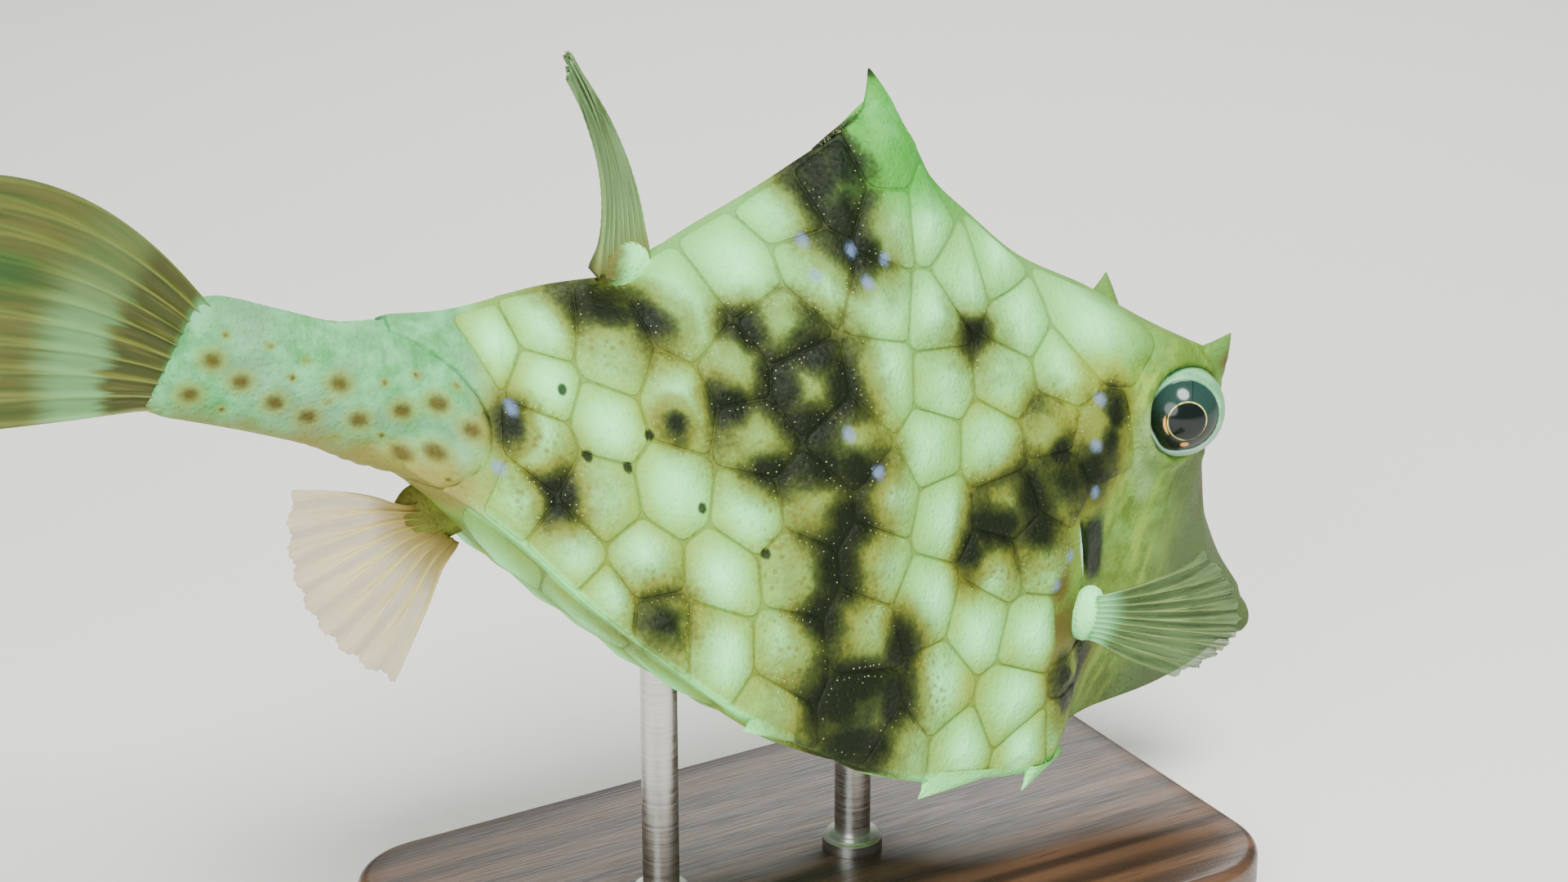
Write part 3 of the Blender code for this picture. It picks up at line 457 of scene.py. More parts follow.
STALK_SPOTS = (
    (172, 18.8), (170.2, 23.4), (166.3, 21.3), (161.5, 19.2), (157, 17.9), (150.8, 18.4), (145.9, 20.3),
    (141.8, 21.9), (137.8, 19.6), (154.2, 22.6), (144.9, 15), (141.4, 16.1),
)
STALK_FLECKS = (
    (169, 26.6), (167.6, 17.4), (160.2, 22.6), (155.2, 20.2), (152.6, 15.6), (148.6, 23.4), (147.6, 16.8),
    (144.6, 24.8), (139.6, 24.2), (158.7, 24.8), (163.5, 26), (140, 13.4),
)
SPECKLED = (
    (129, 15, 7, 7), (115.2, 3, 8, 7), (131.5, 21, 5, 5), (92, 14, 14, 34), (76, -5, 9, 9), (118, 34, 11, 6),
    (60, 14, 11, 10),
)


def nearest_of(s, z, marks, *halves):
    """1 in the middle of the nearest mark, 0 on its edge and below 0 outside."""
    reach = np.full(s.shape, -3.0)
    for middle_s, middle_z, *half in marks:
        half_s, half_z = half or halves
        reach = np.maximum(reach, 1 - np.hypot((s - middle_s) / half_s, (z - middle_z) / half_z))
    return reach


def markings(points):
    """The fields that the skin, the plates and the thorns share, from their places in the fish."""
    s, y, z = (1000 * points[..., k] for k in range(3))
    far = np.where(y > 0, 1.7, 0.0)
    s, z = s + far * np.sin(z / 7.0), z + far * np.cos(s / 9.0)
    slit_z = (GILL_TOP[1] + GILL_BOTTOM[1]) * 500
    lean = (GILL_TOP[0] - GILL_BOTTOM[0]) / (GILL_TOP[1] - GILL_BOTTOM[1])
    behind = s - (GILL_TOP[0] + GILL_BOTTOM[0]) * 500 - (z - slit_z) * lean
    ridge = 1000 * rail_point(RIDGE, s / 1000)
    from_ridge = np.hypot((z - ridge[..., 1]) / 1.4, (np.abs(y) - ridge[..., 0]) / 1.8)
    patch = np.hypot(((behind + GILL_PATCH[0]) / GILL_PATCH[0]) ** 2, ((z - slit_z) / GILL_PATCH[1]) ** 2)
    return {
        "place": 1000 * points,
        "slit": nearest_of(behind, z, [(0.0, slit_z, 0.38, 4.6)]),
        "flap": nearest_of(behind, z, [(0.8, slit_z, 0.45, 4.2)]),
        "gill": 1 - np.sqrt(patch),
        "rim": 1 - from_ridge,
        "dark": np.maximum(nearest_of(s, z, DARK_BLOTCHES), nearest_of(s, z, SOFT_BLOTCHES) - 0.72),
        "tan": nearest_of(s, z, TAN_PATCHES),
        "pale": nearest_of(s, z, PALE_PATCHES),
        "brown": nearest_of(s, z, BROWN_PATCHES) - np.clip((8 + y) / 2, 0, 2) * (s < 30),
        "dots": nearest_of(s, z, BLACK_DOTS, 1.0, 1.0),
        "blue": nearest_of(s, z, BLUE_SPOTS, 1.1, 1.1),
        "spots": np.maximum(
            nearest_of(s, z, STALK_SPOTS, 1.95, 1.65), nearest_of(s, z, STALK_FLECKS, 0.85, 0.75) - 0.15
        ),
        "speckle": nearest_of(s, z, SPECKLED),
    }


CREAM = (0.24, 0.50, 0.095)
YELLOW_OLIVE = (0.26, 0.36, 0.036)
MINT = (0.20, 0.74, 0.22)
# Pale mint of the painted highlight on the plates' bosses
HIGHLIGHT_MINT = (0.36, 1.00, 0.42)
HUMP_GREEN = (0.030, 0.27, 0.016)
BLACK_GREEN = (0.004, 0.008, 0.002)
DEEP_OLIVE = (0.026, 0.040, 0.007)
BROWN_OLIVE = (0.115, 0.110, 0.012)
OLIVE_SEAM = (0.060, 0.095, 0.011)
VIOLET = (0.15, 0.22, 0.38)
RUST = (0.13, 0.075, 0.010)
HEAD_OLIVE = (0.078, 0.145, 0.010)
HEAD_STREAK = (0.24, 0.38, 0.045)
STALK_MINT = (0.060, 0.26, 0.078)
STALK_PALE = (0.13, 0.47, 0.19)
TAN_UNDER = (0.22, 0.19, 0.040)
SNOUT_GREY = (0.065, 0.100, 0.036)
LILAC = (0.23, 0.38, 0.18)
LILAC_GREY = (0.17, 0.27, 0.19)
EDGE_BROWN = (0.092, 0.062, 0.013)
SPOT_RING = (0.22, 0.24, 0.035)
SPOT_BROWN = (0.066, 0.046, 0.006)
GILL_DARK = (0.005, 0.012, 0.004)
GILL_LIP = (0.50, 0.66, 0.66)
# Near black painted shade inside the gill slits
SLIT_SHADE = (0.001, 0.002, 0.001)


def field(near, name, kind="Fac"):
    return node(near, "ShaderNodeAttribute", attribute_name=name).outputs[kind]


def skin_finish(name, plated):
    """Resin tinted in the fish's colours; plated adds a darker plate edge and a painted highlight on each
    pale boss.
    """
    made, shader = finish_with(name, Roughness=0.55, Specular_IOR_Level=0.14)
    place = field(shader, "place", "Vector")
    along, _, height = node(place, "ShaderNodeSeparateXYZ", {0: place}).outputs
    broad = mottle(place, 0.075, detail=4.0)
    patchy = mottle(place, 0.28, detail=5.0, rough=0.62)
    grain = mottle(place, 1.6, detail=4.0, rough=0.65)
    granules, flecks = (
        node(place, "ShaderNodeTexVoronoi", {"Vector": place, "Scale": scale}).outputs["Distance"]
        for scale in (1.25, 0.85)
    )
    uneven = times(plus(patchy, -0.5), 1.1)
    speckled = times(plus(grain, -0.5), 0.5)
    ragged = plus(uneven, speckled)
    dark, brown, tan, rim = (field(shader, name) for name in ("dark", "brown", "tan", "rim"))

    colour = tint(
        CREAM, (YELLOW_OLIVE, broad, 0.38, 0.62), (MINT, patchy, 0.42, 0.80, 0, 0.35),
        (MINT, plus(height, times(uneven, 9)), 27, 44, 0, 0.60),
    )
    if plated:
        centre, boss = field(shader, "centre"), field(shader, "boss")
        deep = fade(plus(dark, uneven), -0.80, 0.20)
        # Round each boss a paler mint, partly the plate's own colour and partly painted highlight, and on the
        # boss a painted highlight of pale mint
        middle_tint_and_sheen = times(fade(boss, -0.15, 1.10), fade(patchy, 0.25, 0.6, 0.70, 1), fade(deep, 0, 1, 1, 0.15))
        painted_highlight = times(fade(boss, 0.18, 1.15), fade(broad, 0.35, 0.6, 0.55, 1), fade(deep, 0, 1, 1, 0.10))
        colour = tint(
            colour, (OLIVE_SEAM, centre, 0, 0.45, 0.26, 0), (OLIVE_SEAM, centre, 0.01, 0.06, 0.45, 0),
            (MINT, middle_tint_and_sheen), (HIGHLIGHT_MINT, painted_highlight),
        )
    else:
        colour = tint(colour, (OLIVE_SEAM, times(fade(along, 39, 44), fade(along, 137, 134, 0, 0.55))))
    on_hump = times(fade(height, 48, 58), fade(along, 94, 86))
    low_head = times(fade(along, 52, 41), fade(height, 43, 35, 0.35, 1))
    streaks = fade(mottle(stretch(place, 0.34, 0.34, 0.10), 1.0, detail=4.0), 0.46, 0.66)
    colour = tint(
        colour, (HUMP_GREEN, times(on_hump, fade(patchy, 0.2, 0.7, 0.96, 0.70))),
        (HEAD_OLIVE, times(low_head, fade(patchy, 0.30, 0.65, 1, 0.60))),
        (HEAD_OLIVE, times(fade(along, 47, 34), fade(height, 32, 39, 0, 0.82))),
        (HEAD_STREAK, times(streaks, low_head, fade(along, 22, 30), 0.8)),
        (YELLOW_OLIVE, plus(tan, uneven), -0.3, 0.7, 0, 0.75),
        (MINT, times(fade(along, 40, 46), fade(rim, 0, 0.6, 0, 0.75))),
    )
    if not plated:
        stalk = tint(
            STALK_MINT, (STALK_PALE, patchy, 0.35, 0.7), (LILAC_GREY, broad, 0.42, 0.62, 0, 0.45),
            (TAN_UNDER, plus(height, times(uneven, 4)), 18.5, 13, 0, 0.95),
        )
        colour = tint(
            colour, (SNOUT_GREY, times(fade(along, 35, 19), fade(height, 34, 20, 0.3, 0.9))),
            (stalk, along, 133, 139), (LILAC, plus(field(shader, "pale"), uneven), -0.4, 1, 0, 0.50),
        )
    stain = plus(dark, ragged)
    halo = times(fade(stain, -1.10, 0.05, 0, 0.84), fade(on_hump, 0.2, 1, 1, 0.15))
    if plated:
        halo = times(halo, fade(boss, 0.20, 1, 1, 0.78))
        spared = times(fade(boss, 0.05, 0.95), fade(dark, 0.15, 0.75, 0.52, 0.20))
        stain = plus(stain, times(spared, -1), fade(centre, 0, 0.35, 0.12, 0))
    speck = times(fade(field(shader, "speckle"), -0.1, 0.6), fade(flecks, 0.40, 0.20), 0.60)
    blurred = plus(field(shader, "spots"), times(ragged, 0.55))
    colour = tint(
        colour, (RUST, speck), (EDGE_BROWN, plus(brown, uneven), -0.4, 0.7, 0, 0.92), (BROWN_OLIVE, halo),
        (DEEP_OLIVE, stain, -0.40, 0.25, 0, 0.80), (BLACK_GREEN, stain, -0.15, 0.75, 0, 0.97),
        (VIOLET, plus(field(shader, "blue"), times(speckled, 2.2)), -0.15, 0.80, 0, 0.66),
        (BLACK_GREEN, field(shader, "dots"), 0.10, 0.50, 0, 0.92),
        (SPOT_RING, blurred, -0.45, 0.25, 0, 0.55), (SPOT_BROWN, blurred, 0.05, 0.75, 0, 0.92),
    )
    if not plated:
        colour = tint(
            colour, (GILL_DARK, plus(field(shader, "gill"), times(ragged, 0.45)), -0.22, 0.30, 0, 0.97),
            (GILL_LIP, field(shader, "flap"), 0, 0.5, 0, 0.9),
            # The gill slit painted near black, as painted shade in its sunken groove
            (SLIT_SHADE, field(shader, "slit"), 0, 0.4, 0, 0.98),
        )
    granular = relief(fade(granules, 0, 0.55, 1, 0), 0.00010, relief(grain, 0.00012))
    put(shader, {"Base Color": colour, "Roughness": fade(grain, 0.3, 0.7, 0.48, 0.66), "Normal": granular})
    return made


columns_t = np.linspace(0, 1, FLANK_COLUMNS + 1)
columns_u = np.linspace(0, 1, BELLY_COLUMNS + 1)[1:]


def shell_ring(s):
    """A ring of points (s, y, z) round the body; s is one value or one for each point of the left half."""
    s = np.broadcast_to(np.asarray(s, float), (FLANK_COLUMNS + 1 + BELLY_COLUMNS,))
    flank, belly = s[: FLANK_COLUMNS + 1], s[FLANK_COLUMNS + 1 :]
    left = np.concatenate([flank_point(flank, columns_t), belly_point(belly, columns_u)])
    left = np.concatenate([s[:, None], left], axis=1)
    return np.concatenate([left, left[-2:0:-1] * (1, -1, 1)])


def rear_ends():
    """Where each line along the left half of the shell meets the rear opening."""
    s = np.linspace(REAR_START, SHELL_END, 90)
    z = [flank_point(s, np.full_like(s, t))[:, 1] for t in columns_t]
    z += [belly_point(s, np.full_like(s, t))[:, 1] for t in columns_u]
    inside = np.hypot((s - RIM_AT[0]) / RIM_HALF[0], (np.array(z) - RIM_AT[1]) / RIM_HALF[1]) < 1
    ends = np.where(inside.any(axis=1), s[np.argmax(inside, axis=1)], SHELL_END)
    for _ in range(3):
        ends[1:-1] = (ends[:-2] + 2 * ends[1:-1] + ends[2:]) / 4
    return ends


skin_rows = []
lip_lean = Matrix.Rotation(math.radians(90) - LIPS_LEAN, 3, "Y") @ Matrix.Rotation(math.radians(90), 3, "Z")
lip_wide, lip_tall, lip_out = (np.array(lip_lean.col[k]) * (-1, 1, 1) for k in range(3))
first_ring = shell_ring(0.0030)
ring_turn = np.arctan2(first_ring[:, 2] - np.mean(first_ring[:, 2]), first_ring[:, 1])
across = np.cos(ring_turn)[:, None] * lip_wide
upward = np.sin(ring_turn)[:, None] * lip_tall
lip_middle = LIPS_HALF[0] * across + LIPS_HALF[1] * upward
lip_away = unit(LIPS_HALF[1] * across + LIPS_HALF[0] * upward)
for depth, share in MOUTH_RINGS:
    skin_rows.append(np.array(LIPS_AT) - depth * lip_out + share * lip_middle)
for a in np.radians(LIP_RINGS):
    bead = math.cos(a) * lip_away + math.sin(a) * lip_out
    skin_rows.append(np.array(LIPS_AT) + lip_middle + LIPS_BEAD * bead)
for run in BODY_RINGS:
    skin_rows += [shell_ring(s) for s in np.arange(*run)]
ends = rear_ends()
for share in np.linspace(0, 1, 17)[1:]:
    skin_rows.append(shell_ring(REAR_START + (ends - REAR_START) * share))
rim = skin_rows[-1]
rim_all = np.concatenate([ends, ends[-2:0:-1]])
inward = unit((0, 0, STALK_MIDDLE) - rim * (0, 1, 1))
for back, deep in GROOVE_RINGS:
    skin_rows.append(rim + back * np.array((1, 0, 0)) + deep * inward)
groove = skin_rows[-1]
stalk_turn = np.arctan2(rim[:, 2] - STALK_MIDDLE, rim[:, 1])


def stalk_ring(s):
    """A ring round the tail stalk that faces the shell's columns."""
    z, tall, wide, lead = np.moveaxis(rail_point(STALK, s), -1, 0)
    c, d = np.cos(stalk_turn), np.sin(stalk_turn)
    return np.stack([s - lead * d, wide * c, z + tall * d], axis=-1)


stalk_s = [rim_all + 0.0003 + (0.1480 - rim_all) * share for share in np.linspace(0, 1, 15)]
stalk_s += [np.full_like(stalk_turn, s) for s in np.arange(0.1485, 0.1753, 0.0009)]
for s in stalk_s:
    ring = stalk_ring(s)
    merge = np.clip((s - rim_all - 0.0003) / 0.0085, 0, 1)
    merge = (merge * merge * (3 - 2 * merge))[:, None]
    wrinkle = 0.00010 * np.sin((s - 0.130) * 2 * math.pi / 0.0021) * np.clip((0.158 - s) / 0.010, 0, 1)
    ring[:, 1:] = groove[:, 1:] * (1 - merge) + ring[:, 1:] * merge - wrinkle[:, None] * inward[:, 1:]
    skin_rows.append(ring)
skin = np.array(skin_rows)
middle_of_end = skin[-1].mean(axis=0)
skin = np.concatenate([skin, (middle_of_end + 0.02 * (skin[-1] - middle_of_end))[None]])
skin_shape = skin.shape[:2]


def fold_lids(points):
    """Raises a soft fold round each eye, and sinks the skin under the eyeball."""
    (fold_at, fold_wide, fold_high), (sink_at, sink_wide, sink_deep) = LID_FOLD, LID_SINK
    for side in (1, -1):
        facing = unit(np.array(EYE_FACES) * (-1, side, 1))
        away = points - np.array(EYE_AT) * (1, side, 1)
        height = away @ facing
        spread = np.linalg.norm(away - height[..., None] * facing, axis=-1)
        behind = np.clip(away[..., 0] / EYE_RADIUS, 0, 1)
        spread = spread - 0.0009 * behind * np.clip((LID_REACH - spread) / 0.003, 0, 1)
        near = (height > -0.010) & (spread < LID_REACH)
        fold = fold_high * np.exp(-(((spread - fold_at) / fold_wide) ** 2))
        sunk = sink_deep * np.clip((sink_at - spread) / sink_wide, 0, 1)
        points = points + np.where(near, fold - sunk, 0)[..., None] * facing
    return points


def open_gills(points):
    """Sinks a narrow slit for each gill opening, with a thin raised lip behind it."""
    s, z = points[..., 0], points[..., 2]
    along = (z - GILL_BOTTOM[1]) / (GILL_TOP[1] - GILL_BOTTOM[1])
    middle = GILL_BOTTOM[0] + (GILL_TOP[0] - GILL_BOTTOM[0]) * along
    across = s - middle
    ends_of_slit = np.clip(1.15 - np.abs(2 * along - 1) ** 4, 0, 1)
    slit = GILL_DEEP * np.exp(-((across / GILL_WIDE) ** 2)) * ends_of_slit
    lip = GILL_LIP_HIGH * np.exp(-(((across - GILL_LIP_AT) / GILL_WIDE) ** 2)) * ends_of_slit
    inside = (np.abs(points[..., 1]) > 0.012) & (np.abs(along - 0.5) < 0.75)
    points = points.copy()
    points[..., 1] += np.where(inside, lip - slit, 0) * np.sign(points[..., 1])
    return points


def press_nostrils(points):
    for side in (1, -1):
        hole = side_point(*NOSTRIL_AT, side=side)
        away = np.linalg.norm(points - hole, axis=-1)
        shift = 0.0005 * np.exp(-(((away - 0.0012) / 0.0005) ** 2)) - 0.0009 * np.exp(-((away / 0.0007) ** 2))
        points = points + shift[..., None] * (0, side, 0)
    return points


skin = press_nostrils(open_gills(fold_lids(skin)))
skin_flat = skin.reshape(-1, 3)
shares = np.meshgrid(*(np.linspace(0.02, 0.98, count) for count in skin_shape), indexing="ij")
skin_piece = piece(
    "skin", to_room(skin_flat), ring_faces(*skin_shape), skin_finish("resin_skin", plated=False),
    markings(skin_flat), np.stack(shares, axis=-1).reshape(-1, 2),
)
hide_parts("head", "lips", "carapace", "tail_stalk")

# Shell plates: six-sided scutes of cast resin laid over the skin edge to edge, each with a low boss
# in its middle and a narrow seam round it. They are glued down before the model is tinted.
PLATE_PITCH = 0.0098
PLATE_SEAM = 0.00010
PLATE_SINK = 0.00015
PLATE_RISE = 0.00012
PLATE_CROWN = 0.00085
PLATE_RINGS = 11
PLATE_TURNS = 60
FACE_EDGE = 0.0385
# Round places kept clear of plates, as their middles and radii: tail opening, gill patch and eye
FLANK_CLEAR = (
    (RIM_AT, RIM_HALF[0] + 0.0006), ((0.0452, 0.0052), 0.0062), ((0.0440, 0.0130), 0.0062),
    ((EYE_AT[0], EYE_AT[2]), 0.0094),
)
# The middles of the flank's plates as (s, z) in millimetres
FLANK_PLATES = (
    (120.3, 30.4), (121.5, 23.2), (128.8, 25.9), (129.9, 19.6), (133.7, 13), (128.2, 32.5), (135.9, 29.5),
    (122.1, 14.8), (113, 16.7), (111.8, 26.3), (109.3, 36), (102, 41.8), (104.3, 31.2), (102.3, 24),
    (102.9, 15.5), (106.4, 7.8), (116.9, 7.9), (127.1, 8), (96, 8.9), (96.7, -0.5), (107.7, 0.1),
    (115.4, 1.2), (122.4, 2.8), (82.3, 58.7), (82, 51.4), (74.1, 51.9), (93.1, 44.6), (98.1, 37),
    (83.7, 41.6), (69.2, 45.4), (61.3, 47.2), (73.6, 32.9), (61, 33.5), (74.2, 40.2), (59.1, 40.4),
    (48.1, 41.1), (53.2, 35.2), (54.4, 28.4), (63.7, 25.2), (75.1, 24.8), (94.7, 30.9), (89.2, 24.9),
    (83.8, 33), (82.4, 18.4), (73, 16.3), (94.1, 17.4), (61, 17.8), (52.6, 21.8), (84, 11), (74.9, 6.4),
    (86, 2), (64.6, 3.6), (62.2, 10.4), (56.4, 1.9), (71.5, -5.2), (57.9, -6.9), (85.4, -6.5), (99.8, -8.2),
    (66.6, -13.4), (53.1, -14.8), (46.6, 26.8), (89.9, 54.4), (95.9, 50.6), (77.8, -13.2), (56, 12.4),
)


def clip_cell(cell, point, away):
    """The part of a flat convex outline behind the line through the point."""
    kept = []
    for k, here in enumerate(cell):
        there = cell[(k + 1) % len(cell)]
        a, b = (here - point).dot(away), (there - point).dot(away)
        if a <= 0:
            kept.append(here)
        if a * b < 0:
            kept.append(here.lerp(there, a / (a - b)))
    return kept


def honeycomb(fixed, low, high, pitch, seed, inside):
    """Middles of plates in columns that fill the box, kept clear of the fixed ones and evened out."""
    draw = np.random.default_rng(seed)
    kept = [Vector((s / 1000, z / 1000)) for s, z in fixed]
    free = []
    step = pitch * math.sqrt(0.75)
    for i in range(int((high[0] - low[0]) / step) + 2):
        for j in range(int((high[1] - low[1]) / pitch) + 2):
            middle = Vector((low[0] + i * step, low[1] + (j + 0.5 * (i % 2)) * pitch))
            if all((middle - other).length > 0.70 * pitch for other in kept):
                free.append(middle)
    for _ in range(12):
        for k, middle in enumerate(free):
            push = Vector((0, 0))
            for other in free[:k] + free[k + 1 :] + kept:
                gap = (middle - other).length
                if gap < pitch:
                    push += (middle - other).normalized() * (pitch - gap) * 0.35
            free[k] = middle + push
    free = [middle for middle in free if inside(middle)]
    stray = 0.035 * pitch
    return kept + [middle + Vector(draw.uniform(-stray, stray, 2)) for middle in free]


def rail_wall(rail, column, s, sign, inset):
    """The wall that a rail makes near s in the side view, with sign 1 for a rail above the plate."""
    ahead, behind, here = rail_point(rail, s + np.array((0.001, -0.001, 0.0)))[:, column].tolist()
    out = Vector((behind - ahead, 0.002)).normalized() * sign
    return Vector((s, here)) - out * inset, out


def round_wall(middle, centre, radius):
    out = (Vector(centre) - middle).normalized()
    return Vector(centre) - out * radius, out


def plate_outline(middle, middles, pitch, walls):
    """The cell of a plate among its neighbours, as a radius for every turn, or None where too small."""
    cell = [middle + Vector(c) * pitch for c in ((-1, -1), (1, -1), (1, 1), (-1, 1))]
    for other in middles:
        apart = other - middle
        if 0 < apart.length < 2 * pitch:
            out = apart.normalized()
            cell = clip_cell(cell, middle + apart / 2 - out * PLATE_SEAM / 2, out)
    for point, out in walls:
        cell = clip_cell(cell, point, out)
    if len(cell) < 3:
        return None
    centre = sum(cell, Vector((0, 0))) / len(cell)
    turns = whole_turn(PLATE_TURNS)
    reach = np.full(PLATE_TURNS, 1.0)
    for k, corner in enumerate(cell):
        side = cell[(k + 1) % len(cell)] - corner
        out = Vector((side.y, -side.x))
        if out.length < 1e-9:
            continue
        out.normalize()
        span = abs((corner - centre).dot(out))
        if (corner - centre).dot(out) < 0:
            out = -out
        facing = np.cos(turns) * out.x + np.sin(turns) * out.y
        reach = np.minimum(reach, np.where(facing > 0.05, span / np.maximum(facing, 0.05), 1.0))
    if reach.min() < 0.15 * pitch or reach.mean() < 0.30 * pitch:
        return None
    return centre, turns, (np.roll(reach, 1) + 2 * reach + np.roll(reach, -1)) / 4


def outlines_of(middles, pitch, walls_near):
    found = (plate_outline(middle, middles, pitch, walls_near(middle)) for middle in middles)
    return [outline for outline in found if outline is not None]


def on_flank(middle):
    """Whether the middle of a plate is well inside the flank's outline."""
    keel = float(rail_point(KEEL, np.array(middle.x))[0])
    ridge = float(rail_point(RIDGE, np.array(middle.x))[1])
    out_of_rim = math.hypot((middle.x - RIM_AT[0]) / RIM_HALF[0], (middle.y - RIM_AT[1]) / RIM_HALF[0]) > 1.15
    return ridge + 0.0028 < middle.y < keel - 0.0036 and out_of_rim and 0.0400 < middle.x < 0.144


def flank_walls(middle):
    """What a plate stops at: keel, ridge, face and the places kept clear."""
    s = min(max(middle.x, 0.0150), 0.1440)
    walls = [rail_wall(KEEL, 0, s, 1, 0.0005), rail_wall(RIDGE, 1, s, -1, 0.0003)]
    walls.append((Vector((FACE_EDGE, 0)), Vector((-1, 0))))
    return walls + [round_wall(middle, *clear) for clear in FLANK_CLEAR]


def bake_place(s, across, lowest):
    return np.stack([0.05 + 6.2 * s, lowest + 8.0 * across], axis=-1)


def raised_plates(word, layout, lifted, lowest):
    """All the plates of a layout as one mesh, each a crowned disc that turns down at its edge."""
    shares = np.append(np.linspace(0, 0.95, PLATE_RINGS)[1:], (0.978, 1.0))
    points, faces, centres, bosses, patches = [], [], [], [], []
    for centre, turns, reach in layout:
        first = sum(len(group) for group in points)
        r = shares[:, None]
        flat_s = np.append(centre.x, (centre.x + r * reach * np.cos(turns)).ravel())
        flat_z = np.append(centre.y, (centre.y + r * reach * np.sin(turns)).ravel())
        share = np.append(0.0, np.repeat(shares, PLATE_TURNS))
        edge = np.clip((1 - share) / 0.045, 0, 1)
        bevel = np.sqrt(1 - (1 - edge) ** 2)
        boss = np.exp(-((share / 0.30) ** 2))
        spokes = np.append(0.0, (np.clip(reach / reach.mean() - 1, -0.2, 0.3)[None, :] * r * (1 - r)).ravel())
        lift = -PLATE_SINK + (PLATE_RISE + PLATE_SINK) * bevel + PLATE_CROWN * (1 - share ** 2.4) * 0.7
        lift += PLATE_CROWN * 0.40 * boss + 0.0008 * spokes
        points.append(lifted(flat_s, flat_z, lift))
        centres.append(1 - share)
        away = np.hypot(flat_s - centre.x, flat_z - centre.y)
        bosses.append(1 - away / (1.08 * reach.mean()))
        patches.append(bake_place(flat_s, flat_z, lowest))
        ring_one = [(first, first + 1 + i, first + 1 + (i + 1) % PLATE_TURNS) for i in range(PLATE_TURNS)]
        quads = ring_faces(len(shares), PLATE_TURNS, first + 1)
        faces += ring_one + quads[:, [0, 3, 2]].tolist() + quads[:, [0, 2, 1]].tolist()
    points = np.concatenate(points)
    fields = markings(points)
    fields["centre"], fields["boss"] = np.concatenate(centres), np.concatenate(bosses)
    made = piece("plates_" + word, to_room(points), faces, plate_resin, fields, np.concatenate(patches))


SIDES = (("left", 1), ("right", -1))
plate_resin = skin_finish("resin_plates", plated=True)
flank_middles = honeycomb(FLANK_PLATES, (0.0180, -0.0170), (0.1420, 0.0660), PLATE_PITCH, 5, on_flank)
flank_plates = outlines_of(flank_middles, PLATE_PITCH, flank_walls)
# Each cover as its word, its plates' outlines, how they lie on the body and where their bake layout starts
covers = [(word, flank_plates, partial(side_point, side=side), 0.2) for word, side in SIDES]
for cover in covers:
    raised_plates(*cover)

# Belly plates: the same scutes of cast resin in wider cells under the fish, flat and pale. They are cut
# back round the rods and the anal fin's lobe, and glued down between the two ridges.
BELLY_PITCH = 0.0118
BELLY_ENDS = (0.0450, 0.1380)
# Round places kept clear of plates, as their middles and radii: the two rods and the anal fin's lobe
BELLY_CLEAR = (((0.0625, 0), 0.0031), ((0.0960, 0), 0.0031), ((0.1345, 0), 0.0066))


def under_point(s, y, lift=0.0):
    """Points (s, y, z) on the belly, lifted down off it."""
    edge = rail_point(RIDGE, s)[..., 0]
    y = np.clip(y, 0.0004 - edge, edge - 0.0004)
    t = np.clip(1 - np.abs(y) / edge, 0, 1)
    return np.stack([s, y, belly_point(s, t)[..., 1] - lift], axis=-1)


def on_belly(middle):
    return abs(middle.y) < float(rail_point(RIDGE, np.array(middle.x))[0]) - 0.0030


def belly_walls(middle):
    """What a plate stops at: both ridges, both ends of the belly and the places kept clear."""
    s = min(max(middle.x, 0.0480), 0.1370)
    point, out = rail_wall(RIDGE, 0, s, 1, 0.0010)
    walls = [(point, out), (Vector((point.x, -point.y)), Vector((out.x, -out.y)))]
    walls += [(Vector((end, 0)), Vector((way, 0))) for end, way in zip(BELLY_ENDS, (-1, 1))]
    return walls + [round_wall(middle, *clear) for clear in BELLY_CLEAR]


belly_middles = honeycomb((), (0.0470, -0.0320), (0.1400, 0.0320), BELLY_PITCH, 9, on_belly)
covers.append(("belly", outlines_of(belly_middles, BELLY_PITCH, belly_walls), under_point, 0.5))
raised_plates(*covers[-1])

# Tubercles: beads of resin set in rows along the plates' edges and out to their corners, white where
# the tint is dark. Each is a small dome pressed into the wet plate.
BEAD_RADII = (0.00008, 0.00014)
BEAD_GAP = 0.00100
BEAD_SIDES = 7
# Rows of beads in a plate as (share of the way out, chance of each bead), and the rings and tip of a dome
# as (radius, height) and height, in radii
BEAD_ROWS = ((0.86, 0.88), (0.72, 0.45), (0.54, 0.30), (0.34, 0.22))
DOME_RINGS = ((1.0, -0.35), (0.72, 0.52))
DOME_TIP = 0.86
BEAD_LOW = (0.28, 0.44, 0.12)
BEAD_PALE = (0.40, 0.80, 0.36)
BEAD_OLIVE = (0.19, 0.20, 0.055)
BEAD_WHITE = (0.38, 0.42, 0.17)


def bead_finish():
    made, shader = finish_with("resin_beads", Roughness=0.38, Coat_Weight=0.2, Coat_Roughness=0.25)
    place = field(shader, "place", "Vector")
    along = node(place, "ShaderNodeSeparateXYZ", {0: place}).outputs[0]
    grain = mottle(place, 0.9)
    white = tint(BEAD_OLIVE, (BEAD_WHITE, grain, 0.35, 0.6))
    in_dark = tint(BLACK_GREEN, (white, along, 66, 76, 0.06, 1))
    colour = tint(BEAD_LOW, (BEAD_PALE, grain, 0.35, 0.7), (in_dark, field(shader, "dark"), -0.15, 0.10))
    put(shader, {"Base Color": colour, "Normal": relief(mottle(place, 4.0), 0.00003)})
    return made


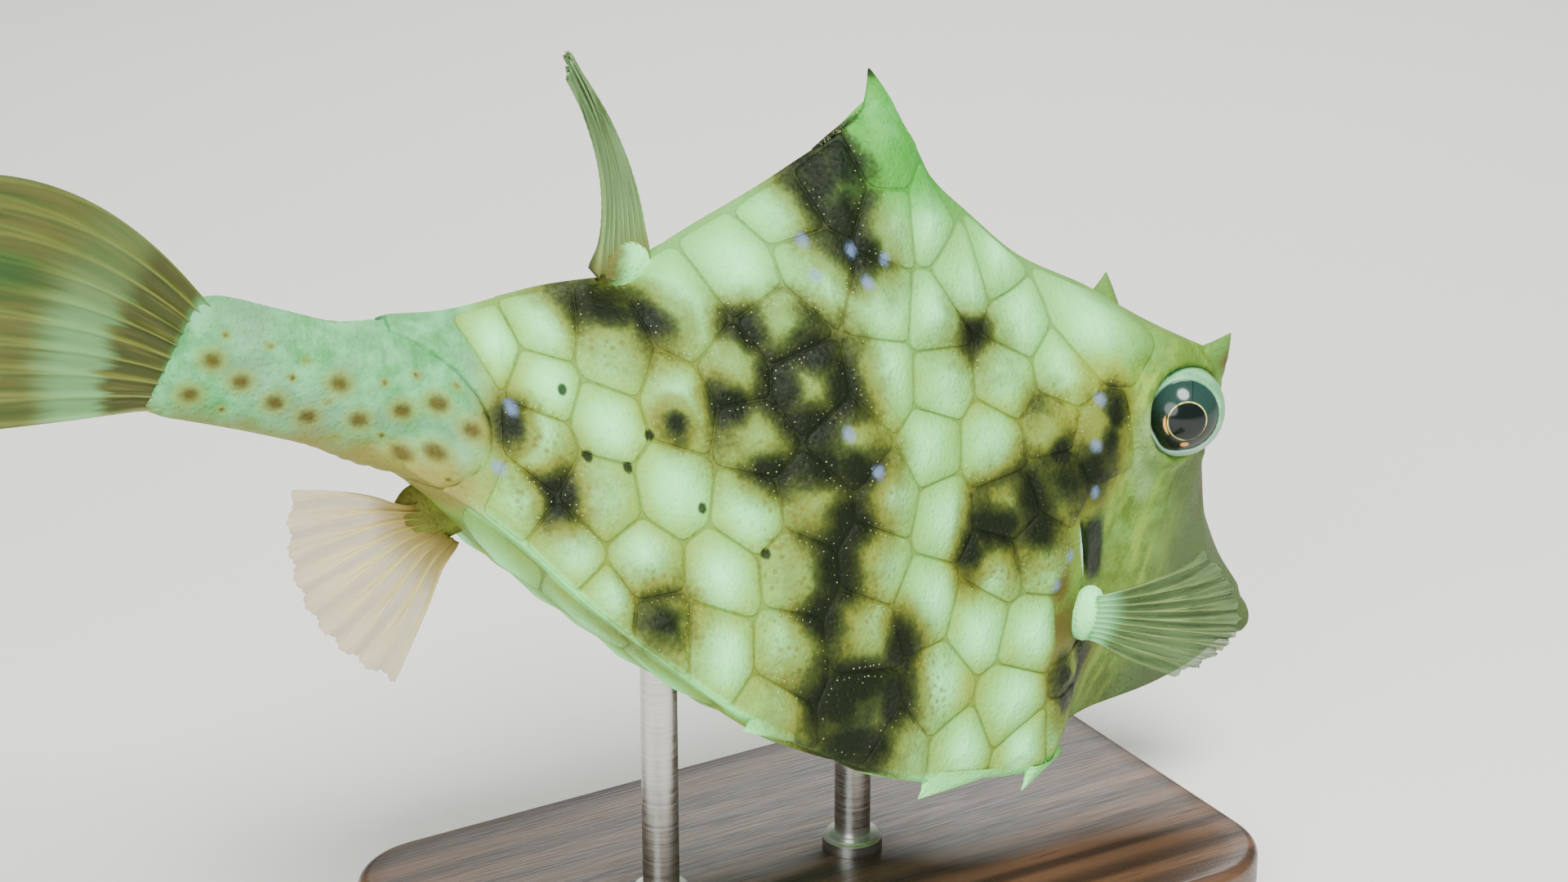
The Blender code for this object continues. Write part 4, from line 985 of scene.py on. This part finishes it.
def beads(word, layout, lifted, lowest, seed):
    """Domes at the edges and along the spokes of every plate of a layout, as one mesh."""
    draw = np.random.default_rng(seed)
    flat, share_at, sizes = [], [], []
    for centre, turns, reach in layout:
        for share, chance in BEAD_ROWS:
            count = max(int(2 * math.pi * reach.mean() * share / BEAD_GAP), 3)
            start = draw.uniform(0, 1)
            for k in range(count):
                if draw.uniform() > chance:
                    continue
                turn = (k + start) / count * PLATE_TURNS + draw.uniform(-0.4, 0.4)
                far = np.interp(turn % PLATE_TURNS, np.arange(PLATE_TURNS + 1), np.append(reach, reach[0]))
                spread = share * draw.uniform(0.95, 1.04)
                angle = turn * 2 * math.pi / PLATE_TURNS
                away = spread * far
                flat.append((centre.x + away * math.cos(angle), centre.y + away * math.sin(angle)))
                share_at.append(spread)
                sizes.append(draw.uniform(*BEAD_RADII) * (1.0 if share > 0.7 else 0.8))
    flat, share_at, sizes = np.array(flat), np.array(share_at), np.array(sizes)
    lift = PLATE_RISE * 0.86 + PLATE_CROWN * 0.6 * (1 - share_at ** 2)
    roots = lifted(flat[:, 0], flat[:, 1], lift)
    normals = unit(lifted(flat[:, 0], flat[:, 1], lift + 0.001) - roots)
    across = unit(np.cross(normals, (1.0, 0.1, 0.2)))
    other = np.cross(normals, across)
    turns = whole_turn(BEAD_SIDES)
    shape = [(r * math.cos(a), r * math.sin(a), z) for r, z in DOME_RINGS for a in turns]
    shape = np.array(shape + [(0.0, 0.0, DOME_TIP)])
    scaled = sizes[:, None, None] * shape
    points = roots[:, None] + scaled @ np.stack([across, other, normals], axis=1)
    triangles = []
    for i in range(BEAD_SIDES):
        j = (i + 1) % BEAD_SIDES
        triangles += [(i, j, BEAD_SIDES + j), (i, BEAD_SIDES + j, BEAD_SIDES + i)]
        triangles.append((BEAD_SIDES + i, BEAD_SIDES + j, 2 * BEAD_SIDES))
    faces = (np.array(triangles)[None] + (np.arange(len(roots)) * len(shape))[:, None, None]).reshape(-1, 3)
    patch = bake_place(flat[:, 0], flat[:, 1], lowest)[:, None] + 0.0015 * shape[:, :2]
    points = points.reshape(-1, 3)
    made = piece("beads_" + word, to_room(points), faces, bead_resin, markings(points), patch.reshape(-1, 2))


bead_resin = bead_finish()
for cover, seed in zip(covers, (22, 20, 23)):
    beads(*cover, seed)

# Thorns: the hooked spines on the hump, over the eyes and along the ventral ridges, cast hollow in
# the same resin and let into the shell, with growth rings round them, a darker tip on the hump's, and
# the plates' painted highlight, which grows towards every tip.
THORN_SIDES = 40
THORN_STEPS = 34
# Each as its root and its tip as (s, y, z), and the root's half sizes along the body and across it
HUMP_THORN = ((0.0820, 0.0, 0.0592), (0.0862, 0.0, 0.0694), 0.0052, 0.0021)
BROW_THORN = ((0.0290, 0.0116, 0.0368), (0.0272, 0.0145, 0.0434), 0.0056, 0.0031)
RIDGE_THORNS = (
    ((0.0472, 0.0235, -0.0156), (0.0520, 0.0266, -0.0193), 0.0052, 0.0014),
    ((0.0634, 0.0284, -0.0158), (0.0727, 0.0317, -0.0187), 0.0096, 0.0013),
    ((0.0972, 0.0326, -0.0094), (0.1048, 0.0349, -0.0089), 0.0064, 0.0011),
)


def hooked_thorn(name, root, tip, long_half, cross_half, side, dark_tip=False, rail=None):
    """A tapered spine that hooks forward, or that lies along the rail it grows from."""
    root, tip = (np.array(p) * (1, side, 1) for p in (root, tip))
    axis = tip - root
    across = unit(np.cross(axis, (1.0, 0, 0)))
    forward = unit(np.cross(axis, across))
    if forward[0] > 0:
        forward = -forward
    taper, hooked = 0.85, 0.26
    if rail is not None:
        front, rear = rail_point(rail, root[0] + np.array((-0.002, 0.002)))
        forward = unit(np.append(-0.004, front - rear)) * (1, side, 1)
        across = unit(np.cross(axis, forward))
        taper, hooked = 1.05, 0.22
    u = np.linspace(0, 1, THORN_STEPS)[:, None, None]
    a = whole_turn(THORN_SIDES)[None, :, None]
    growth = 1 + 0.020 * np.sin(26 * u) * (1 - u) + 0.03 * np.sin(5 * a + 3 * u)
    size = (1 - 0.96 * u ** taper) * growth
    hook = forward * (hooked * np.linalg.norm(axis)) * u * (1 - u)
    ring = long_half * np.cos(a) * forward + cross_half * np.sin(a) * across
    points = root + axis * u + hook + size * ring
    end = points[-1].mean(axis=0)
    blunt = end + 0.1 * (points[-1] - end) + 0.0002 * unit(axis)
    flat = np.concatenate([points, blunt[None]]).reshape(-1, 3)
    share = np.repeat(np.append(u[:, 0, 0], 1.0), THORN_SIDES)
    fields = markings(flat)
    # A boss that rises towards the tip gives each thorn the plates' pale middle and painted highlight,
    # strongest at the tip
    fields["centre"] = fields["boss"] = 0.40 + 0.35 * share
    if dark_tip:
        fields["dark"] = np.maximum(fields["dark"], (share - 0.78) * 3.2)
    made = piece(name, to_room(flat), ring_faces(THORN_STEPS + 1, THORN_SIDES), plate_resin, fields)


hooked_thorn("thorn_hump", *HUMP_THORN, 1, dark_tip=True)
for word, side in SIDES:
    hooked_thorn("thorn_brow_" + word, *BROW_THORN, side)
    for k, sizes in enumerate(RIDGE_THORNS):
        hooked_thorn(f"thorn_ridge_{word}_{k + 1}", *sizes, side, rail=RIDGE)

# Eyes: blown glass domes with the iris painted behind, each under a cast lid that leaves a round
# opening. They are set into the sockets with wax, so that the near one looks out at the viewer.
PUPIL_EDGE = 24.5
GOLD_EDGE = 26.4
LID_EDGE = 50.0
LID_THICK = 0.00032
LID_NOTCH = (194, 0.34, 8.0)
# Marks on the iris as (turn, angle off the gaze) and their half lengths, all in degrees
AMBER_MARKS = ((245.0, 29.6, 34.0, 2.6), (168.0, 34.0, 13.0, 5.5))
BARE_MARKS = ((136.0, 25.5, 46.0, 12.0),)
# Which way each eye looks, with x to the snout, y to the fish's left and z up
GAZE = {"right": (-0.394, -0.918, -0.045), "left": (0.05, 0.98, 0.02)}
LID_TILT = {"right": (-0.020, 0.032, 0.090), "left": (-0.020, -0.032, 0.090)}
# Rings off the gaze in degrees, as (first, last, count)
EYE_RINGS = ((0.3, 66, 70), (68, 118, 26))
EYE_TURNS = 128
IRIS_DARK = (0.004, 0.010, 0.007)
IRIS_GREEN = (0.014, 0.042, 0.036)
IRIS_THREAD = (0.07, 0.11, 0.04)
GOLD = (0.72, 0.62, 0.16)
AMBER = (0.80, 0.38, 0.05)
PUPIL = (0.004, 0.008, 0.007)
LID_GREEN = (0.12, 0.36, 0.17)
LID_MINT = (0.21, 0.54, 0.27)
LID_GREY = (0.25, 0.42, 0.32)
LID_OLIVE = (0.13, 0.23, 0.050)


def eye_finish():
    made, shader = finish_with(
        "glass_eye", Roughness=0.20, Specular_IOR_Level=0.25, Coat_Weight=0.3, Coat_Roughness=0.09
    )
    place = field(shader, "place", "Vector")
    polar, turn, lid, bare, amber = (field(shader, key) for key in ("polar", "turn", "lid", "bare", "amber"))
    spokes = node(turn, "ShaderNodeCombineXYZ", {0: times(turn, 30.0), 1: polar}).outputs[0]
    upward = node(turn, "ShaderNodeMath", {0: turn}, operation="COSINE").outputs[0]
    threads = mottle(spokes, 0.6, detail=4.0)
    cloud = mottle(place, 0.35, detail=4.0)
    iris = tint(IRIS_DARK, (IRIS_GREEN, upward, -0.4, 0.9), (IRIS_THREAD, threads, 0.45, 0.80, 0, 0.30))
    gold = times(
        fade(polar, PUPIL_EDGE - 0.3, PUPIL_EDGE + 0.8), fade(polar, GOLD_EDGE + 0.5, GOLD_EDGE - 0.6),
        fade(mottle(spokes, 0.11, detail=1.0), 0.30, 0.55, 0.35, 1), fade(bare, 0, 0.5, 1, 0.12),
    )
    far_lid = tint(HEAD_OLIVE, (LID_OLIVE, cloud, 0.35, 0.65))
    lid_skin = tint(LID_GREEN, (LID_MINT, cloud, 0.35, 0.65), (LID_GREY, upward, 0.2, -0.7))
    lid_skin = tint(lid_skin, (far_lid, lid, 14, 42, 0, 0.90))
    colour = tint(
        iris, (GOLD, gold), (AMBER, amber, 0.05, 0.5), (PUPIL, polar, PUPIL_EDGE + 0.5, PUPIL_EDGE - 0.5),
        (lid_skin, lid, -0.6, 1.2),
    )
    put(shader, {
        "Base Color": colour, "Roughness": fade(lid, -0.4, 1, 0.16, 0.42),
        "Coat Weight": fade(lid, -0.4, 1, 0.22, 0.08),
        "Normal": relief(times(mottle(place, 3.0), fade(lid, 0, 2)), 0.00008),
    })
    return made


glass = eye_finish()
for word, side in SIDES:
    gaze = unit(np.array(GAZE[word]))
    up = unit(np.array((0, 0, 1.0)) - gaze[2] * gaze)
    right = np.cross(up, gaze)
    polar = np.radians(np.concatenate([np.linspace(*run) for run in EYE_RINGS]))[:, None]
    turn = whole_turn(EYE_TURNS)[None, :]
    notch_turn, notch_wide, notch_deep = LID_NOTCH
    away = np.abs(np.angle(np.exp(1j * (turn + math.radians(notch_turn) * side))))
    edge = LID_EDGE + notch_deep * np.exp(-((away / notch_wide) ** 2))
    ways = np.cos(polar)[..., None] * gaze
    ways = ways + np.sin(polar)[..., None] * (np.cos(turn)[..., None] * up + np.sin(turn)[..., None] * right)
    opening = unit(gaze + np.array(LID_TILT[word]))
    lid = np.degrees(np.arccos(np.clip(ways @ opening, -1, 1))) - edge
    radius = EYE_RADIUS + LID_THICK * np.clip(lid / 2.5, 0, 1) ** 0.5
    radius = radius + 0.00010 * np.exp(-((np.degrees(polar) / 30.0) ** 2))
    points = (np.array(EYE_AT) * (1, side, 1) + radius[..., None] * ways * (-1, 1, 1)).reshape(-1, 3)
    spread, turn = (np.broadcast_to(values, lid.shape) for values in (np.degrees(polar), turn))
    around = np.degrees(turn) * -side % 360
    amber, bare = nearest_of(around, spread, AMBER_MARKS), nearest_of(around, spread, BARE_MARKS)
    fields = {"polar": spread, "lid": lid, "amber": amber, "bare": bare, "turn": turn}
    fields = {"place": 1000 * points} | {key: values.ravel() for key, values in fields.items()}
    eye = piece("eye_glass_" + word, to_room(points), ring_faces(len(polar), EYE_TURNS), glass, fields)
    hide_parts("eye_" + word)

# Fins: thin sheets of cast clear resin with jointed rays raised in both faces, that fork towards the
# edge. Each fin but the tail's is set into a fleshy lobe that is pinned in its pocket.
RAY_HALF = 0.00042
WEB_HALF = 0.00009
FIN_COLUMNS = 340
FIN_ROWS = 56
FIN_WAVE = 0.0003
LOBE_RINGS = 40
LOBE_TURNS = 56
TAIL_BROWN = (0.038, 0.046, 0.008)
TAIL_GREEN = (0.13, 0.31, 0.12)
TAIL_STRIPE = (0.020, 0.065, 0.010)
# Each in millimetres as (s, y, z): the roots of the first and last ray, the tips of the first, middle and
# last one, how far the first and last one bow, and the lobe's middle and half sizes. Flesh is how thick
# the root is and what share of the rays it covers. The web is the colours of its sheet, streaks, rays and
# root and how far it is seen through. The tint is the lobe's fields at its rear and its front, its swell
# and the shift of its pattern.
FINS = {
    "caudal": {
        "roots": ((171.2, 0, 29.6), (174.5, 0, 16.4)),
        "tips": ((206.5, 0, 41.5), (214, 0, 27), (207, 0, 9.5)),
        "bow": ((0, -0.6, 5), (0, -0.6, 0)),
        "flesh": (0.7, 0.07),
        "rays": 10,
        "web": ((0.082, 0.086, 0.015), (0.042, 0.068, 0.010), (0.13, 0.15, 0.034), (0.11, 0.33, 0.11), 0.06),
    },
    "dorsal": {
        "roots": ((112.8, 0, 41.5), (119.7, 0, 38.4)),
        "tips": ((130.4, 0, 64.8), (133, -4, 66.3), (134.3, -8, 64.6)),
        "bow": ((-2.7, 0, 0), (-3, 0, 0)),
        "flesh": (0.9, 0.10),
        "rays": 9,
        # The dorsal's dark olive root is painted shade at the fin's base
        "web": ((0.15, 0.28, 0.105), (0.085, 0.15, 0.050), (0.28, 0.42, 0.14), (0.12, 0.13, 0.030), 0.15),
        "lobe": ((115.6, 0, 39.8), (4, 2.2, 3.6)),
        # The dorsal lobe's brown, darker rear is painted shade, and its high boss at the front gives it the
        # plates' painted highlight
        "tint": ({"dark": (-0.55, -2.5), "brown": (1.2, -1.6), "boss": (0.2, 1.1)}, 1.0, (0, 0, 12)),
    },
    "anal": {
        "roots": ((138.8, 0, 6), (131.5, 0, 2)),
        "tips": ((154.9, 0, 7.2), (150, -1, -7.5), (135.7, -2, -16.8)),
        "bow": ((0, -0.8, 1), (0, -0.8, 0)),
        "flesh": (1.7, 0.13),
        "rays": 9,
        "web": ((0.37, 0.27, 0.085), (0.50, 0.39, 0.14), (0.62, 0.54, 0.15), (0.15, 0.105, 0.010), 0.58),
        "lobe": ((134.5, 0, 6), (6.2, 2.6, 4.2)),
        "tint": (
            {"dark": (-0.75, -0.60), "boss": (0.1, 0.1), "tan": (1, 1), "brown": (0.5, 0.3)}, 0.92, (0, 0, 0)
        ),
    },
    "pectoral": {
        "roots": ((44.2, 22.8, 7.5), (43.8, 23.2, 1.2)),
        "tips": ((41.5, 37, 19.5), (35.4, 40.8, 10.6), (43.2, 39.5, 2.8)),
        "bow": ((0, 1.6, 0), (1.2, 1, 0)),
        "flesh": (0.7, 0.07),
        "rays": 10,
        # The pectoral's pale mint root is a painted highlight at the fin's base
        "web": ((0.12, 0.19, 0.080), (0.050, 0.085, 0.030), (0.38, 0.47, 0.17), (0.26, 0.64, 0.32), 0.42),
        "lobe": ((44.6, 21.2, 4.4), (2.9, 2.8, 4.5)),
        # The pectoral lobe's high boss gives it the plates' painted highlight all over
        "tint": ({"dark": (-3, -3), "brown": (-0.6, -3), "boss": (0.8, 1.1)}, 0.85, (60, 0, 0)),
    },
}


def fin_finish(name, web, streak, ray, root, see_through):
    """Clear tinted resin; the tail's has brown at its root, a pale green band and a dark stripe."""
    made, shader = finish_with(name, Roughness=0.45, Specular_IOR_Level=0.25)
    turn, reach, raised = (field(shader, key) for key in ("turn", "reach", "ray"))
    lengthwise = node(turn, "ShaderNodeCombineXYZ", {0: times(turn, 26.0), 1: times(reach, 2.2)}).outputs[0]
    streaks = mottle(lengthwise, 1.0, detail=5.0, rough=0.6)
    cloud = mottle(field(shader, "place", "Vector"), 0.22)
    colour = tint(web, (streak, streaks, 0.38, 0.66), (ray, times(raised, fade(cloud, 0.3, 0.6, 0.45, 0.9))))
    root_end = 0.22
    if name == "caudal_web":
        ragged = fade(plus(streaks, times(raised, -0.25)), 0.30, 0.48)
        waver = plus(reach, times(plus(streaks, -0.5), 0.25))
        near_root = times(fade(reach, 0, 0.04), fade(reach, 0.30, 0.18), ragged)
        band = times(fade(waver, 0.19, 0.27), fade(waver, 0.52, 0.35), fade(turn, 0.15, 0.65, 0.12, 0.70))
        stripe = times(fade(turn, 0.26, 0.34), fade(turn, 0.50, 0.42), fade(reach, 0.36, 0.60), 0.85)
        colour = tint(colour, (TAIL_BROWN, near_root), (TAIL_GREEN, band), (TAIL_STRIPE, stripe))
        root_end = 0.06
    clear = times(fade(reach, 0.05, 0.45), fade(raised, 0.1, 0.8, see_through, 0.35 * see_through))
    put(shader, {
        # The root colour over the fin's base: painted shade on the dorsal, a painted highlight on the
        # pectoral
        "Base Color": tint(colour, (root, reach, root_end, 0.1 * root_end, 0, 0.9)),
        "Alpha": plus(times(clear, -1), 1), "Roughness": fade(streaks, 0.3, 0.7, 0.38, 0.55),
        "Normal": relief(streaks, 0.00006),
    })
    return made


def fin_blade(name, fin, side, web):
    roots, tips, bows = (np.array(fin[key]) / 1000 for key in ("roots", "tips", "bow"))
    a = np.linspace(0, 1, FIN_COLUMNS)[:, None, None]
    v = np.linspace(0, 1, FIN_ROWS)[None, :, None]
    phase = a * (fin["rays"] - 1)
    notched = 0.5 - 0.5 * np.cos(2 * math.pi * phase)
    frayed = 0.006 * np.sin(23 * phase) + 0.004 * np.sin(57 * phase + 1)
    reach = v * (1 - (0.035 * notched + frayed) * v ** 3)
    root = roots[0] + (roots[1] - roots[0]) * a
    tip = tips[0] * (1 - a) * (1 - 2 * a) + tips[1] * 4 * a * (1 - a) + tips[2] * a * (2 * a - 1)
    sheet = root + (tip - root) * reach + (bows[0] + (bows[1] - bows[0]) * a) * 4 * v * (1 - v)
    normals = unit(np.cross(np.gradient(sheet, axis=0), np.gradient(sheet, axis=1)))
    folds = np.sin(2 * math.pi * phase) + 0.8 * np.sin(3.1 * a * math.pi + 2 * v)
    sheet = sheet + normals * FIN_WAVE * v * folds
    off = np.abs(phase - np.round(phase))
    fork = 0.20 * np.clip((v - 0.34) / 0.5, 0, 1)
    twig = 0.085 * np.clip((v - 0.66) / 0.34, 0, 1)
    width = 0.13 - 0.075 * np.clip((v - 0.3) / 0.6, 0, 1)
    ridge = np.exp(-(((np.abs(off - fork) - twig) / width) ** 2))
    joints = 1 + 0.14 * np.sin(2 * math.pi * v * 34) * np.clip(v * 4, 0, 1)
    thick, far = fin["flesh"]
    flesh = thick / 1000 * np.exp(-((v / far) ** 2))
    half = WEB_HALF + RAY_HALF * (1 - 0.80 * v) * ridge * joints + flesh
    flat = (np.stack([sheet + normals * half, sheet - normals * half]) * (1, side, 1)).reshape(-1, 3)
    f, b = np.arange(2 * FIN_COLUMNS * FIN_ROWS).reshape(2, FIN_COLUMNS, FIN_ROWS)
    strips = [(f[:, :-1], f[:, 1:]), (b[:-1].T, b[1:].T), (f[:, -1], b[:, -1]), (b[:, 0], f[:, 0])]
    strips += [(f[0], b[0]), (b[-1], f[-1])]
    quads = [np.stack([p[:-1], p[1:], q[1:], q[:-1]], -1).reshape(-1, 4) for p, q in strips]
    quads = np.concatenate(quads)[:, :: -side]
    fields = {"place": 1000 * flat}
    for key, values in (("turn", a), ("reach", v), ("ray", ridge * np.clip(1.1 - v, 0, 1))):
        fields[key] = np.tile(np.broadcast_to(values[..., 0], (FIN_COLUMNS, FIN_ROWS)).ravel(), 2)
    made = piece(name, to_room(flat), quads, web, fields)
    return made


def fin_lobe(name, fin, side):
    (s, y, z), halves = np.array(fin["lobe"]) / 1000
    marks, swell, tint_from = fin["tint"]
    polar = np.linspace(0.01, math.pi - 0.01, LOBE_RINGS)[:, None]
    turn = whole_turn(LOBE_TURNS)[None, :]
    wide = np.sin(polar)
    ball = np.stack([wide * np.cos(turn), wide * np.sin(turn), np.cos(polar + 0 * turn)], axis=-1)
    folds = 1 + 0.012 * np.sin(9 * turn + 4 * polar) + 0.01 * np.sin(5 * turn - 7 * polar)
    points = (np.array((s, y * side, z)) + swell * folds[..., None] * ball * halves).reshape(-1, 3)
    fields = markings(points)
    fields["centre"] = np.full(len(points), 0.6)
    fields["place"] = fields["place"] + tint_from
    for key, (rear, front) in marks.items():
        fields[key] = front + (rear - front) * (0.5 + 0.5 * np.clip((points[:, 0] - s) / halves[0], -1, 1))
    made = piece(name, to_room(points), ring_faces(LOBE_RINGS, LOBE_TURNS), plate_resin, fields)


for kind, fin in FINS.items():
    web = fin_finish(kind + "_web", *fin["web"])
    for end, side in (("_left", 1), ("_right", -1)) if kind == "pectoral" else (("", 1),):
        blade = fin_blade(kind + "_blade" + end, fin, side, web)
        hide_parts(kind + "_fin" + end)
        if "lobe" in fin:
            fin_lobe(kind + "_lobe" + end, fin, side)

# Floor, lights and camera: a pale plain floor under three large soft lamps, with the camera where the
# photo was taken from.
FLOOR_GREY = (0.78, 0.765, 0.74)
FLOOR_PALE = (0.83, 0.815, 0.79)
floor_mesh = bpy.data.meshes.new("floor")
floor_mesh.from_pydata([(-3, -3, 0), (3, -3, 0), (3, 3, 0), (-3, 3, 0)], [], [(0, 1, 2, 3)])
floor_finish, floor_shader = finish_with("pale_floor", Roughness=0.75)
floor_place = node(floor_shader, "ShaderNodeTexCoord").outputs["Object"]
put(floor_shader, {"Base Color": tint(FLOOR_GREY, (FLOOR_PALE, mottle(floor_place, 3.0)))})
floor_mesh.materials.append(floor_finish)
floor = show("floor", floor_mesh)
FISH_MIDDLE = Vector((-0.01, 0.0, 0.07))
# Each lamp's name, place, width, power in watts and colour
LAMPS = (
    ("key_lamp", (-0.05, -0.42, 0.76), 0.40, 14.0, (1.0, 1.0, 0.96)),
    ("fill_lamp", (-0.60, -0.45, 0.35), 0.50, 4.8, (0.94, 1.0, 0.97)),
    ("rim_lamp", (0.35, 0.45, 0.55), 0.40, 4.0, (1.0, 0.99, 0.95)),
)
for name, place, width, power, colour in LAMPS:
    light = bpy.data.lights.new(name, "AREA")
    light.shape, light.size, light.energy, light.color = "DISK", width, power, colour
    lamp = show(name, light)
    lamp.location = place
    lamp.rotation_euler = (FISH_MIDDLE - Vector(place)).to_track_quat("-Z", "Y").to_euler()
world = bpy.data.worlds.new("studio")
world.use_nodes = True
put(world.node_tree.nodes["Background"], {"Color": (0.90, 0.95, 0.92), "Strength": 0.30})
bpy.context.scene.world = world

CAMERA_TURN = math.radians(31)
CAMERA_RISE = math.radians(22)
CAMERA_AWAY = 0.490
CAMERA_AIM = Vector((-0.0045, 0, 0.0714))
back = Vector((
    -math.sin(CAMERA_TURN) * math.cos(CAMERA_RISE), -math.cos(CAMERA_TURN) * math.cos(CAMERA_RISE),
    math.sin(CAMERA_RISE),
))
camera_data = bpy.data.cameras.new("camera")
camera_data.lens = 85
camera_data.sensor_width = 36
camera_data.clip_start = 0.01
camera = show("camera", camera_data)
camera.location = CAMERA_AIM + back * CAMERA_AWAY
camera.rotation_euler = (-back).to_track_quat("-Z", "Y").to_euler()
bpy.context.scene.camera = camera
